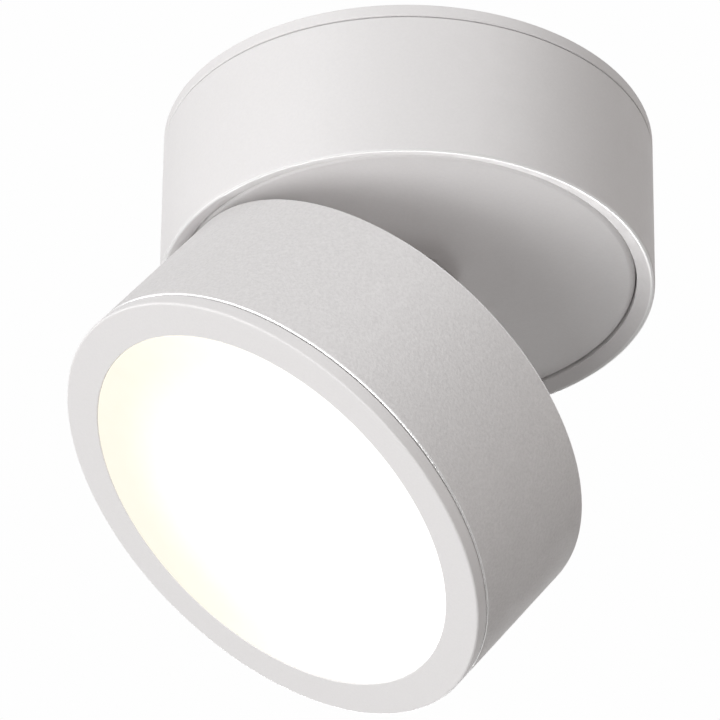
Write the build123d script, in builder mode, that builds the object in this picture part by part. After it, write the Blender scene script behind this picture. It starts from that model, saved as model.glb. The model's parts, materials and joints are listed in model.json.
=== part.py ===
"""Surface mounted ceiling spotlight: a drum fixed to the ceiling and a lamp head that swivels and folds out.

The origin is the centre of the face that lies on the ceiling, and +Z points up into the ceiling, so the
light hangs below it. Base pieces are placed by their drop below the ceiling, and head pieces by their depth
below the rear face of the head. The hinge is on the -X side. All sizes are in millimetres.
"""
import math
import os

from build123d import *

os.makedirs("parts", exist_ok=True)

# Driving dimensions of the two drums
body_radius = 60.0
base_height = 42.0
head_height = 43.8
head_draft = 0.6  # the head is this much smaller at its rear
head_corner = 1.2
base_wall = 2.6
head_wall = 2.6
head_rear_wall = 2.6
edge_break = 0.25

# Pose and hinge
rest_tilt = 37.0
fold_gap = 0.45  # between base rim and head when folded shut
hinge_inset = 6.6  # from the side of the base to the hinge line
hinge_depth = 5.85  # from the head's rear face to the hinge line

# Clearances
slip = 0.3  # between pieces that are put together by hand
running_fit = 0.1
close_fit = 0.05

# Ceiling plate with its twist lock
plate_band = 3.2
plate_thickness = 2.0
plate_seam = 0.35
spigot_inset = 5.0
spigot_wall = 2.0
lock_ledge = 4.4
lug_height = 2.2
lug_span = 24.0
lug_count = 3
notch_extra = 8.0
ceiling_slot_spacing = 76.0
ceiling_slot_length = 20.0
ceiling_slot_width = 4.5
grommet_hole = 8.0
grommet_flange = 2.0
grommet_sink = 0.8
grommet_bore = 4.0
grommet_x = 17.0  # off centre, over the free side of the swivel
lock_screw_angle = 100.0
lock_screw_radius = 1.5
lock_screw_socket = 0.8

# Rim, turntable and swivel
rim_width = 4.8
rim_bevel = 1.8
disc_recess = 2.0
disc_thickness = 2.5
glide_thickness = 1.5
glide_radius = 30.0
deck_thickness = 2.0
stem_radius = 7.0
stem_bore = 4.5
stem_flange = 4.0
stem_flange_thickness = 1.0
stem_above_nut = 1.8
bush_wall = 1.9
bush_flange = 3.0
bush_flange_thickness = 1.0
washer_width = 5.0
washer_thickness = 1.0
spring_width = 4.0
spring_thickness = 0.6
spring_rise = 0.9
nut_flats = 22.0
nut_thickness = 4.0
stop_inset = 14.9  # from the edge of the turntable
stop_radius = 1.25
stop_height = 1.1
stop_seat = 1.2
stop_angle = 90.0

# Hinge arm, pin and bracket
arm_width = 9.0
arm_foot_thickness = 1.6
arm_foot_half_width = 12.0
arm_foot_end = 11.5
arm_foot_corner = 5.0
arm_foot_screw_reach = (30.0, 16.0)
arm_foot_screw_offset = 8.0
arm_elbow = 2.0
arm_leg = 3.0
arm_leg_gap = 0.45
arm_bar = 5.0
eye_radius = 2.9
hinge_pin_radius = 1.5
wire_groove_width = 6.0
wire_groove_depth = 1.3
wire_hole = 3.0
wire_hole_offset = 13.4  # from the hinge line
washer_gap = 0.4
cheek_thickness = 2.4
cheek_drop = 3.35
cheek_length = 6.4
cheek_behind = 2.5
bracket_thickness = 2.0
bracket_length = 26.8
bracket_half_width = 12.0
bracket_screw_from_hinge = 17.4
bracket_screw_offset = 7.0
arm_slot_inner = 15.0  # leaves a way for the wires beside the arm
arm_slot_outer = 2.9
bolt_head_radius = 2.4
bolt_head_height = 1.6

# Lamp head inside
spreader_depth = 14.0
spreader_inset = 3.8
spreader_thickness = 3.0
boss_inset = 6.8
boss_radius = 3.5
boss_hole_depth = 8.0
rib_inner = 12.0
rib_inset = 12.8
rib_thickness = 2.0
rib_height = 8.0
pad_thickness = 0.5
pad_inset = 1.0
board_inset = 10.3
board_thickness = 1.6
board_screw_inset = 5.5
chip_length = 3.5
chip_width = 2.8
chip_height = 0.8
chip_ring_shares = (0.3, 0.515, 0.73)
chip_counts = (8, 14, 20)
connector_size = (8.0, 4.0, 3.5)
connector_offset = 7.0
reflector_wall = 1.4
reflector_foot_inset = 0.7
reflector_mouth_margin = 1.0
reflector_rim = 1.2

# Bezel and lens
bezel_band = 3.4
bezel_seam = 0.4
bezel_edge = 0.5
front_chamfer = 0.5
bezel_face_width = 9.2
lens_lip = 2.4
lens_flange = 2.2
lens_thickness = 2.0
lens_flush = 0.1
gasket_thickness = 0.8
bezel_spigot_inset = 5.0
bezel_spigot_wall = 1.8
bezel_lock_ledge = 5.2

# Driver and wiring in the base
driver_length = 64.0
driver_width = 24.0
driver_height = 20.0
driver_wall = 1.2
driver_centre = 26.0
driver_ear = 8.0
driver_ear_thickness = 2.0
standoff_height = 2.0
standoff_radius = 2.0
driver_board_thickness = 1.2
driver_board_margin = 0.8
transformer_size = (16.0, 16.0, 12.0)
transformer_core = 5.0
capacitor_sizes = ((-24.0, 0.0, 5.0, 13.5), (17.0, 4.5, 4.0, 12.0), (17.0, -5.0, 3.0, 9.0))
choke_centre = 25.0
choke_radius = 4.6
choke_hole = 2.2
choke_height = 6.0
terminal_size = (30.0, 15.0, 12.0)
terminal_centre = -28.0
terminal_pitch = 10.0
terminal_row = 4.5
terminal_hole = 2.0
clamp_radius = 1.7
clamp_proud = 0.4
earth_x = 30.0
earth_y = -22.0

# Screws: shank radius, head radius and head height
m3_shank = 1.5
m3_head = 2.75
m3_head_height = 1.8
m3_sunk_height = 1.3
m4_shank = 2.0
m4_head = 4.0
m4_head_height = 2.4

# Places that follow from the sizes above
head_rear_radius = body_radius - head_draft
spigot_radius = body_radius - spigot_inset
base_inner = body_radius - base_wall
ledge_radius = spigot_radius + slip
housing_top = plate_band + plate_seam
ledge_bottom = housing_top + lock_ledge
lug_top = ledge_bottom + slip
lug_outer = base_inner - slip
spigot_reach = lug_top + lug_height
lock_screw_drop = (housing_top + ledge_bottom) / 2
rim_inner = body_radius - rim_width
disc_radius = rim_inner - slip
stop_circle_radius = disc_radius - stop_inset
disc_bottom = base_height - disc_recess
disc_top = disc_bottom - disc_thickness
deck_bottom = disc_top - glide_thickness
deck_top = deck_bottom - deck_thickness
bush_bore = stem_radius + running_fit
bush_outer = bush_bore + bush_wall
deck_hole = bush_outer + close_fit
bush_top = deck_top - bush_flange_thickness
washer_top = bush_top - washer_thickness
spring_top = washer_top - spring_rise - spring_thickness
nut_top = spring_top - nut_thickness
stem_top = nut_top - stem_above_nut

hinge_x = hinge_inset - body_radius
hinge_drop = base_height + fold_gap + hinge_depth
tilt = math.radians(rest_tilt)
head_x_dir = Vector(math.cos(tilt), 0, -math.sin(tilt))
head_z_dir = Vector(math.sin(tilt), 0, math.cos(tilt))
hinge_point = Vector(hinge_x, 0, -hinge_drop)
rear_centre = hinge_point - head_x_dir * hinge_x + head_z_dir * hinge_depth
base_frame = Plane.XY
head_frame = Plane(origin=rear_centre, x_dir=head_x_dir, z_dir=head_z_dir)

head_inner = head_rear_radius - head_wall
spreader_radius = head_inner - spreader_inset
boss_circle_radius = head_inner - boss_inset
rib_outer = head_inner - rib_inset
board_radius = head_inner - board_inset
pad_radius = board_radius - pad_inset
board_screw_circle_radius = board_radius - board_screw_inset
reflector_foot = board_radius - reflector_foot_inset
lens_radius = body_radius - bezel_face_width
reflector_mouth = lens_radius + reflector_mouth_margin
bezel_spigot_radius = body_radius - bezel_spigot_inset
front_depth = head_height - bezel_band - bezel_seam
draft = (body_radius - head_rear_radius) / head_height
front_radius = head_rear_radius + draft * front_depth
spreader_front = spreader_depth + spreader_thickness
board_back = spreader_front + pad_thickness
board_front = board_back + board_thickness
bezel_back = head_height - bezel_band
lip_back = head_height - lens_lip
lens_flange_front = lip_back - gasket_thickness
lens_back = lens_flange_front - lens_thickness
bezel_ledge_radius = bezel_spigot_radius + slip
bezel_ledge_back = front_depth - bezel_lock_ledge
bezel_lug_front = bezel_ledge_back - slip
bezel_spigot_back = bezel_lug_front - lug_height
bezel_spigot_inner = bezel_spigot_radius - bezel_spigot_wall
lens_flange_radius = min(lens_radius + lens_flange, bezel_spigot_inner - running_fit)

wire_hole_x = hinge_x + wire_hole_offset
bracket_inner_end = bracket_length - head_inner
bracket_screw_x = hinge_x + bracket_screw_from_hinge
leg_outer = hinge_x + hinge_depth + arm_leg_gap
leg_inner = leg_outer + arm_leg
foot_bottom = disc_bottom + arm_foot_thickness
washer_face = arm_width / 2 + washer_gap
cheek_face = washer_face + cheek_thickness


def layer(frame, depth):
    """The plane that lies this far below the frame's own face."""
    return frame.offset(-depth)


def section(frame, angle=0.0):
    """The upright plane through the frame's axis, with its x along the radius at this angle."""
    turn = math.radians(angle)
    radial = frame.x_dir * math.cos(turn) + frame.y_dir * math.sin(turn)
    normal = frame.x_dir * math.sin(turn) - frame.y_dir * math.cos(turn)
    return Plane(origin=frame.origin, x_dir=radial, z_dir=normal)


def spin_axis(frame):
    return Axis(frame.origin, frame.z_dir)


def polar(radius, angle):
    return (radius * math.cos(math.radians(angle)), radius * math.sin(math.radians(angle)))


def ring(frame, top, bottom, outer, inner=0.0, mode=Mode.ADD):
    """A flat ring or disc between two depths, added to the part that is being built."""
    with BuildSketch(layer(frame, top)) as outline:
        Circle(outer)
        if inner > 0:
            Circle(inner, mode=Mode.SUBTRACT)
    extrude(outline.sketch, amount=top - bottom, mode=mode)


def ring_sectors(frame, top, bottom, inner, outer, span, first, count, mode=Mode.ADD):
    """Arcs of a ring, evenly spaced, such as the lugs and notches of a twist lock."""
    for number in range(count):
        middle = first + number * 360.0 / count
        with BuildSketch(section(frame, middle - span / 2)) as profile:
            with Locations(((inner + outer) / 2, -(top + bottom) / 2)):
                Rectangle(outer - inner, bottom - top)
        revolve(profile.sketch, axis=spin_axis(frame), revolution_arc=span, mode=mode)


def posts(frame, top, bottom, radius, places, mode=Mode.ADD):
    """Round posts or holes between two depths."""
    with BuildSketch(layer(frame, top)) as outline:
        with Locations(*places):
            Circle(radius)
    extrude(outline.sketch, amount=top - bottom, mode=mode)


def sunk_screws(frame, face, tip, places, grow=0.0, mode=Mode.ADD):
    """Countersunk screws with heads level with a face, or, with some growth, the holes that take them."""
    neck_depth = face + math.copysign(m3_sunk_height, tip - face)
    for place in places:
        with BuildSketch(layer(frame, face)) as head_circle:
            with Locations(place):
                Circle(m3_head + grow)
        with BuildSketch(layer(frame, neck_depth)) as neck_circle:
            with Locations(place):
                Circle(m3_shank + grow)
        loft([head_circle.sketch, neck_circle.sketch], mode=mode)
    posts(frame, neck_depth, tip, m3_shank + grow, places, mode)


def pan_screws(frame, seat, tip, places, shank=m3_shank, head=m3_head, height=m3_head_height):
    """Screws whose flat round heads sit on a face."""
    posts(frame, seat - math.copysign(height, tip - seat), seat, head, places)
    posts(frame, seat, tip, shank, places)


def radial_plane(frame, angle, radius, depth):
    """A plane that faces outwards from the frame's axis."""
    along = section(frame, angle).x_dir
    return Plane(origin=frame.origin + along * radius - frame.z_dir * depth, z_dir=along)


# ---- Base: fixed to the ceiling ----

grommet_place = (grommet_x, 0)
terminal_place = (terminal_pitch / 2, terminal_centre)
earth_place = (earth_x, earth_y)

with BuildPart() as ceiling_plate:
    with BuildSketch(section(base_frame)):
        with BuildLine():
            Polyline(
                (0, 0),
                (body_radius, 0),
                (body_radius, -plate_band),
                (spigot_radius, -plate_band),
                (spigot_radius, -spigot_reach),
                (spigot_radius - spigot_wall, -spigot_reach),
                (spigot_radius - spigot_wall, -plate_thickness),
                (0, -plate_thickness),
                close=True,
            )
        make_face()
    revolve(axis=Axis.Z)
    ring_sectors(base_frame, lug_top, spigot_reach, spigot_radius - spigot_wall / 2, lug_outer,
                 lug_span, 0, lug_count)
    with BuildSketch(layer(base_frame, 0)):
        with GridLocations(ceiling_slot_spacing, 0, 2, 1):
            SlotOverall(ceiling_slot_length, ceiling_slot_width)
    extrude(amount=-plate_thickness, mode=Mode.SUBTRACT)
    posts(base_frame, 0, plate_thickness, grommet_hole, [grommet_place], Mode.SUBTRACT)
    posts(base_frame, 0, grommet_sink, grommet_hole + grommet_flange, [grommet_place], Mode.SUBTRACT)
    posts(base_frame, 0, plate_thickness, m3_shank + close_fit, [terminal_place], Mode.SUBTRACT)
    posts(base_frame, 0, plate_thickness, m4_shank + close_fit, [earth_place], Mode.SUBTRACT)
ceiling_plate.part.label = "ceiling_plate"
export_step(ceiling_plate.part, "parts/ceiling_plate.step")

with BuildPart() as cable_grommet:
    grommet_end = plate_thickness + grommet_flange
    posts(base_frame, 0, grommet_sink, grommet_hole + grommet_flange - close_fit, [grommet_place])
    posts(base_frame, grommet_sink, plate_thickness, grommet_hole - close_fit, [grommet_place])
    posts(base_frame, plate_thickness, grommet_end, grommet_hole + grommet_flange, [grommet_place])
    posts(base_frame, 0, grommet_end, grommet_bore, [grommet_place], Mode.SUBTRACT)
cable_grommet.part.label = "cable_grommet"
export_step(cable_grommet.part, "parts/cable_grommet.step")

driver_screw_x = driver_length / 2 + driver_ear / 2
driver_screw_places = [(-driver_screw_x, driver_centre), (driver_screw_x, driver_centre)]

with BuildPart() as base_housing:
    with BuildSketch(section(base_frame)):
        with BuildLine():
            Polyline(
                (deck_hole, -deck_top),
                (base_inner, -deck_top),
                (base_inner, -ledge_bottom),
                (ledge_radius, -ledge_bottom),
                (ledge_radius, -housing_top),
                (body_radius - edge_break, -housing_top),
                (body_radius, -(housing_top + edge_break)),
                (body_radius, -(base_height - edge_break)),
                (body_radius - edge_break, -base_height),
                (rim_inner, -(base_height - rim_bevel)),
                (rim_inner, -deck_bottom),
                (deck_hole, -deck_bottom),
                close=True,
            )
        make_face()
    revolve(axis=Axis.Z)
    ring_sectors(base_frame, housing_top, ledge_bottom, ledge_radius - slip, base_inner,
                 lug_span + notch_extra, 180.0 / lug_count, lug_count, Mode.SUBTRACT)
    posts(base_frame, deck_bottom, deck_bottom + stop_height, stop_radius,
          [polar(stop_circle_radius, stop_angle + 180)])
    posts(base_frame, deck_top, deck_bottom, m3_shank + close_fit, driver_screw_places, Mode.SUBTRACT)
    with BuildSketch(radial_plane(base_frame, lock_screw_angle, spigot_radius, lock_screw_drop)):
        Circle(lock_screw_radius + close_fit)
    extrude(amount=body_radius - spigot_radius + slip, mode=Mode.SUBTRACT)
base_housing.part.label = "base_housing"
export_step(base_housing.part, "parts/base_housing.step")

with BuildPart() as housing_lock_screw:
    with BuildSketch(radial_plane(base_frame, lock_screw_angle, spigot_radius + running_fit, lock_screw_drop)):
        Circle(lock_screw_radius)
    extrude(amount=body_radius - slip - spigot_radius - running_fit)
    with BuildSketch(radial_plane(base_frame, lock_screw_angle, body_radius - slip, lock_screw_drop)):
        RegularPolygon(lock_screw_socket, 6)
    extrude(amount=-lock_screw_radius, mode=Mode.SUBTRACT)
housing_lock_screw.part.label = "housing_lock_screw"
export_step(housing_lock_screw.part, "parts/housing_lock_screw.step")

terminal_bottom = plate_thickness + terminal_size[2]
clamp_places = [
    (column * terminal_pitch, terminal_centre + row * terminal_row)
    for column in (-1, 0, 1)
    for row in (-1, 1)
]
wire_hole_drop = plate_thickness + terminal_size[2] / 3
clamp_tip = wire_hole_drop + terminal_hole + slip

with BuildPart() as terminal_block:
    with BuildSketch(layer(base_frame, plate_thickness)):
        with Locations((0, terminal_centre)):
            Rectangle(terminal_size[0], terminal_size[1])
    extrude(amount=-terminal_size[2])
    with BuildSketch(Plane.XZ.offset(-terminal_centre)):
        with Locations(*[(column * terminal_pitch, -wire_hole_drop) for column in (-1, 0, 1)]):
            Circle(terminal_hole)
    extrude(amount=terminal_size[1], both=True, mode=Mode.SUBTRACT)
    posts(base_frame, clamp_tip, terminal_bottom, clamp_radius + close_fit, clamp_places, Mode.SUBTRACT)
    posts(base_frame, plate_thickness, terminal_bottom, m3_shank + close_fit, [terminal_place], Mode.SUBTRACT)
terminal_block.part.label = "terminal_block"
export_step(terminal_block.part, "parts/terminal_block.step")

with BuildPart() as terminal_clamp_screws:
    posts(base_frame, clamp_tip, terminal_bottom + clamp_proud, clamp_radius, clamp_places)
terminal_clamp_screws.part.label = "terminal_clamp_screws"
export_step(terminal_clamp_screws.part, "parts/terminal_clamp_screws.step")

with BuildPart() as terminal_fixing_screw:
    pan_screws(base_frame, terminal_bottom, slip, [terminal_place])
terminal_fixing_screw.part.label = "terminal_fixing_screw"
export_step(terminal_fixing_screw.part, "parts/terminal_fixing_screw.step")

with BuildPart() as earth_screw:
    pan_screws(base_frame, plate_thickness, slip, [earth_place], m4_shank, m4_head, m4_head_height)
earth_screw.part.label = "earth_screw"
export_step(earth_screw.part, "parts/earth_screw.step")

# Driver: a plastic case on the deck, beside the swivel
driver_top = deck_top - driver_height
driver_floor = deck_top - driver_wall
board_underside = driver_floor - standoff_height
board_face = board_underside - driver_board_thickness
driver_inner_length = driver_length - 2 * driver_wall
driver_inner_width = driver_width - 2 * driver_wall
standoff_x = driver_inner_length / 2 - 2 * standoff_radius
standoff_y = driver_inner_width / 2 - 2 * standoff_radius
standoff_places = [
    (side * standoff_x, driver_centre + end * standoff_y) for side in (-1, 1) for end in (-1, 1)
]

with BuildPart() as driver_case:
    with BuildSketch(layer(base_frame, driver_top)):
        with Locations((0, driver_centre)):
            Rectangle(driver_length, driver_width)
            Rectangle(driver_inner_length, driver_inner_width, mode=Mode.SUBTRACT)
    extrude(amount=-driver_height)
    with BuildSketch(layer(base_frame, driver_floor)):
        with Locations((0, driver_centre)):
            Rectangle(driver_length, driver_width)
    extrude(amount=-driver_wall)
    with BuildSketch(layer(base_frame, deck_top - driver_ear_thickness)):
        with Locations(*driver_screw_places):
            Rectangle(driver_ear, driver_ear)
    extrude(amount=-driver_ear_thickness)
    posts(base_frame, board_underside, driver_floor, standoff_radius, standoff_places)
    posts(base_frame, deck_top - driver_ear_thickness, deck_top, m3_shank + close_fit,
          driver_screw_places, Mode.SUBTRACT)
driver_case.part.label = "driver_case"
export_step(driver_case.part, "parts/driver_case.step")

with BuildPart() as driver_cover:
    with BuildSketch(layer(base_frame, driver_top - driver_wall)):
        with Locations((0, driver_centre)):
            Rectangle(driver_length, driver_width)
    extrude(amount=-driver_wall)
    with BuildSketch(layer(base_frame, driver_top)):
        with Locations((0, driver_centre)):
            Rectangle(driver_inner_length - slip, driver_inner_width - slip)
            Rectangle(driver_inner_length - 2 * driver_wall, driver_inner_width - 2 * driver_wall,
                      mode=Mode.SUBTRACT)
    extrude(amount=-driver_wall)
driver_cover.part.label = "driver_cover"
export_step(driver_cover.part, "parts/driver_cover.step")

with BuildPart() as driver_board:
    with BuildSketch(layer(base_frame, board_face)):
        with Locations((0, driver_centre)):
            Rectangle(driver_inner_length - 2 * driver_board_margin, driver_inner_width - 2 * driver_board_margin)
    extrude(amount=-driver_board_thickness)
driver_board.part.label = "driver_board"
export_step(driver_board.part, "parts/driver_board.step")

with BuildPart() as driver_transformer:
    with BuildSketch(layer(base_frame, board_face)):
        with Locations((-transformer_size[0] / 2, driver_centre)):
            Rectangle(transformer_size[0], transformer_size[1] - transformer_core)
            Rectangle(transformer_size[0] - transformer_core, transformer_size[1])
    extrude(amount=transformer_size[2])
driver_transformer.part.label = "driver_transformer"
export_step(driver_transformer.part, "parts/driver_transformer.step")

with BuildPart() as driver_capacitors:
    for along, across, radius, height in capacitor_sizes:
        posts(base_frame, board_face, board_face - height, radius, [(along, driver_centre + across)])
driver_capacitors.part.label = "driver_capacitors"
export_step(driver_capacitors.part, "parts/driver_capacitors.step")

with BuildPart() as driver_choke:
    with BuildSketch(layer(base_frame, board_face)):
        with Locations((choke_centre, driver_centre)):
            Circle(choke_radius)
            Circle(choke_hole, mode=Mode.SUBTRACT)
    extrude(amount=choke_height)
driver_choke.part.label = "driver_choke"
export_step(driver_choke.part, "parts/driver_choke.step")

with BuildPart() as driver_screws:
    pan_screws(base_frame, deck_top - driver_ear_thickness, deck_bottom - slip, driver_screw_places)
driver_screws.part.label = "driver_screws"
export_step(driver_screws.part, "parts/driver_screws.step")

with BuildPart() as swivel_bush:
    ring(base_frame, bush_top, deck_top, bush_outer + bush_flange, bush_bore)
    ring(base_frame, deck_top, deck_bottom, bush_outer, bush_bore)
swivel_bush.part.label = "swivel_bush"
export_step(swivel_bush.part, "parts/swivel_bush.step")

with BuildPart() as glide_washer:
    ring(base_frame, deck_bottom, disc_top, glide_radius, bush_bore)
glide_washer.part.label = "glide_washer"
export_step(glide_washer.part, "parts/glide_washer.step")

# ---- Turntable: swivels in the base ----

foot_screw_places = [
    (-along, side * arm_foot_screw_offset) for along in arm_foot_screw_reach for side in (-1, 1)
]
groove_inner = stem_bore
groove_outer = wire_hole - wire_hole_x

with BuildPart() as turntable_disc:
    ring(base_frame, disc_top, disc_bottom, disc_radius, stem_radius + close_fit)
    ring(base_frame, disc_bottom - stem_flange_thickness, disc_bottom,
         stem_radius + stem_flange + close_fit, mode=Mode.SUBTRACT)
    with BuildSketch(layer(base_frame, disc_bottom)):
        with Locations((-(groove_inner + groove_outer) / 2, 0)):
            Rectangle(groove_outer - groove_inner, wire_groove_width)
    extrude(amount=wire_groove_depth, mode=Mode.SUBTRACT)
    posts(base_frame, disc_top, disc_top + stop_seat, stop_radius + close_fit,
          [polar(stop_circle_radius, stop_angle)], Mode.SUBTRACT)
    posts(base_frame, disc_top, disc_bottom, m3_shank + close_fit, foot_screw_places, Mode.SUBTRACT)
    chamfer(turntable_disc.edges().group_by(Axis.Z)[0].sort_by(SortBy.LENGTH)[-1], edge_break)
turntable_disc.part.label = "turntable_disc"
export_step(turntable_disc.part, "parts/turntable_disc.step")

with BuildPart() as swivel_stem:
    ring(base_frame, stem_top, disc_bottom, stem_radius, stem_bore)
    ring(base_frame, disc_bottom - stem_flange_thickness, disc_bottom, stem_radius + stem_flange, stem_bore)
    with BuildSketch(layer(base_frame, disc_bottom)):
        with Locations((-(stem_radius + stem_flange) / 2, 0)):
            Rectangle(stem_radius + stem_flange + slip, wire_groove_width)
    extrude(amount=stem_flange_thickness, mode=Mode.SUBTRACT)
swivel_stem.part.label = "swivel_stem"
export_step(swivel_stem.part, "parts/swivel_stem.step")

with BuildPart() as stem_washer:
    ring(base_frame, washer_top, bush_top, bush_bore + washer_width, bush_bore)
stem_washer.part.label = "stem_washer"
export_step(stem_washer.part, "parts/stem_washer.step")

with BuildPart() as spring_washer:
    with BuildSketch(section(base_frame)):
        with BuildLine():
            Polyline(
                (bush_bore, -spring_top),
                (bush_bore, -(spring_top + spring_thickness)),
                (bush_bore + spring_width, -washer_top),
                (bush_bore + spring_width, -(washer_top - spring_thickness)),
                close=True,
            )
        make_face()
    revolve(axis=Axis.Z)
spring_washer.part.label = "spring_washer"
export_step(spring_washer.part, "parts/spring_washer.step")

with BuildPart() as swivel_nut:
    with BuildSketch(layer(base_frame, nut_top)):
        RegularPolygon(nut_flats / 2, 6, major_radius=False)
        Circle(stem_radius + close_fit, mode=Mode.SUBTRACT)
    extrude(amount=-nut_thickness)
swivel_nut.part.label = "swivel_nut"
export_step(swivel_nut.part, "parts/swivel_nut.step")

with BuildPart() as stop_pin:
    posts(base_frame, disc_top - stop_height, disc_top + stop_seat, stop_radius, [polar(stop_circle_radius, stop_angle)])
stop_pin.part.label = "stop_pin"
export_step(stop_pin.part, "parts/stop_pin.step")

bar_top = hinge_drop - arm_bar / 2
bar_bottom = hinge_drop + arm_bar / 2

with BuildPart() as hinge_arm:
    with BuildSketch(section(base_frame)):
        with BuildLine():
            Polyline(
                (leg_outer, -disc_bottom),
                (leg_inner, -disc_bottom),
                (leg_inner, -(bar_bottom - arm_elbow)),
                (leg_inner - arm_elbow, -bar_bottom),
                (hinge_x, -bar_bottom),
                (hinge_x, -bar_top),
                (leg_outer, -bar_top),
                close=True,
            )
        make_face()
        with Locations((hinge_x, -hinge_drop)):
            Circle(eye_radius)
            Circle(hinge_pin_radius + close_fit, mode=Mode.SUBTRACT)
    extrude(amount=arm_width / 2, both=True)
    with BuildSketch(layer(base_frame, disc_bottom)):
        with Locations(((leg_outer + arm_foot_end) / 2, 0)):
            RectangleRounded(arm_foot_end - leg_outer, 2 * arm_foot_half_width, arm_foot_corner)
        with Locations((wire_hole_x, 0)):
            Circle(wire_hole, mode=Mode.SUBTRACT)
    extrude(amount=-arm_foot_thickness)
    sunk_screws(base_frame, foot_bottom, disc_bottom, foot_screw_places, close_fit, Mode.SUBTRACT)
hinge_arm.part.label = "hinge_arm"
export_step(hinge_arm.part, "parts/hinge_arm.step")

with BuildPart() as hinge_arm_screws:
    sunk_screws(base_frame, foot_bottom, disc_top + slip, foot_screw_places)
hinge_arm_screws.part.label = "hinge_arm_screws"
export_step(hinge_arm_screws.part, "parts/hinge_arm_screws.step")

# ---- Head: folds out about the hinge ----

boss_places = [polar(boss_circle_radius, angle) for angle in (0, 120, 240)]
board_screw_places = [polar(board_screw_circle_radius, angle) for angle in (60, 180, 300)]
bracket_screw_places = [(bracket_screw_x, side * bracket_screw_offset) for side in (-1, 1)]
slot_outer_end = hinge_x - arm_slot_outer
slot_inner_end = hinge_x + arm_slot_inner

with BuildPart() as head_housing:
    with BuildSketch(section(head_frame)):
        with BuildLine():
            CenterArc((head_rear_radius - head_corner, -head_corner), head_corner, 0, 90)
            Polyline(
                (head_rear_radius - head_corner, 0),
                (0, 0),
                (0, -head_rear_wall),
                (head_inner, -head_rear_wall),
                (head_inner, -bezel_ledge_back),
                (bezel_ledge_radius, -bezel_ledge_back),
                (bezel_ledge_radius, -front_depth),
                (front_radius - front_chamfer, -front_depth),
                (front_radius, -(front_depth - front_chamfer)),
                (head_rear_radius, -head_corner),
            )
        make_face()
    revolve(axis=spin_axis(head_frame))
    posts(head_frame, head_rear_wall, spreader_depth, boss_radius, boss_places)
    posts(head_frame, spreader_depth - boss_hole_depth, spreader_depth, m3_shank + close_fit,
          boss_places, Mode.SUBTRACT)
    with BuildSketch(layer(head_frame, head_rear_wall)):
        with PolarLocations((rib_inner + rib_outer) / 2, 5, -120, 240, endpoint=True):
            Rectangle(rib_outer - rib_inner, rib_thickness)
    extrude(amount=-rib_height)
    ring_sectors(head_frame, bezel_ledge_back, front_depth, bezel_ledge_radius - slip, head_inner,
                 lug_span + notch_extra, 180.0 / lug_count, lug_count, Mode.SUBTRACT)
    with BuildSketch(layer(head_frame, 0)):
        with Locations(((slot_outer_end + slot_inner_end) / 2, 0)):
            Rectangle(slot_inner_end - slot_outer_end, 2 * (washer_face + running_fit))
    extrude(amount=-head_rear_wall, mode=Mode.SUBTRACT)
    sunk_screws(head_frame, 0, head_rear_wall, bracket_screw_places, close_fit, Mode.SUBTRACT)
head_housing.part.label = "head_housing"
export_step(head_housing.part, "parts/head_housing.step")

bracket_back = head_rear_wall + bracket_thickness
cheek_end = hinge_depth + cheek_drop

with BuildPart() as hinge_bracket:
    with BuildSketch(layer(head_frame, head_rear_wall)):
        Circle(head_inner - slip)
        with Locations((bracket_inner_end - bracket_length / 2, 0)):
            Rectangle(bracket_length, 2 * bracket_half_width, mode=Mode.INTERSECT)
        with Locations((slot_inner_end - head_inner, 0)):
            Rectangle(2 * head_inner, 2 * washer_face, mode=Mode.SUBTRACT)
    extrude(amount=-bracket_thickness)
    with BuildSketch(layer(head_frame, bracket_back)):
        with Locations(*[
            (hinge_x + cheek_length / 2 - cheek_behind, side * (washer_face + cheek_thickness / 2))
            for side in (-1, 1)
        ]):
            Rectangle(cheek_length, cheek_thickness)
    extrude(amount=bracket_back - cheek_end)
    with BuildSketch(section(head_frame)):
        with Locations((hinge_x, -hinge_depth)):
            Circle(hinge_pin_radius + close_fit)
    extrude(amount=bracket_half_width, both=True, mode=Mode.SUBTRACT)
    with BuildSketch(section(head_frame).offset(-cheek_face)):
        with Locations((hinge_x, -hinge_depth)):
            Circle(bolt_head_radius + slip)
    extrude(amount=-(bracket_half_width - cheek_face), mode=Mode.SUBTRACT)
    posts(head_frame, head_rear_wall, bracket_back, m3_shank + close_fit, bracket_screw_places, Mode.SUBTRACT)
hinge_bracket.part.label = "hinge_bracket"
export_step(hinge_bracket.part, "parts/hinge_bracket.step")

with BuildPart() as bracket_screws:
    sunk_screws(head_frame, 0, bracket_back + slip, bracket_screw_places)
bracket_screws.part.label = "bracket_screws"
export_step(bracket_screws.part, "parts/bracket_screws.step")

with BuildPart() as hinge_bolt:
    with BuildSketch(section(head_frame)):
        with Locations((hinge_x, -hinge_depth)):
            Circle(hinge_pin_radius)
    extrude(amount=cheek_face, both=True)
    with BuildSketch(section(head_frame).offset(-cheek_face)):
        with Locations((hinge_x, -hinge_depth)):
            Circle(bolt_head_radius)
    extrude(amount=-bolt_head_height)
hinge_bolt.part.label = "hinge_bolt"
export_step(hinge_bolt.part, "parts/hinge_bolt.step")

with BuildPart() as friction_washers:
    with BuildSketch(section(head_frame).offset(-arm_width / 2)):
        with Locations((hinge_x, -hinge_depth)):
            Circle(eye_radius)
            Circle(hinge_pin_radius + close_fit, mode=Mode.SUBTRACT)
    extrude(amount=-washer_gap)
    mirror(about=Plane.XZ)
friction_washers.part.label = "friction_washers"
export_step(friction_washers.part, "parts/friction_washers.step")

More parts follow.
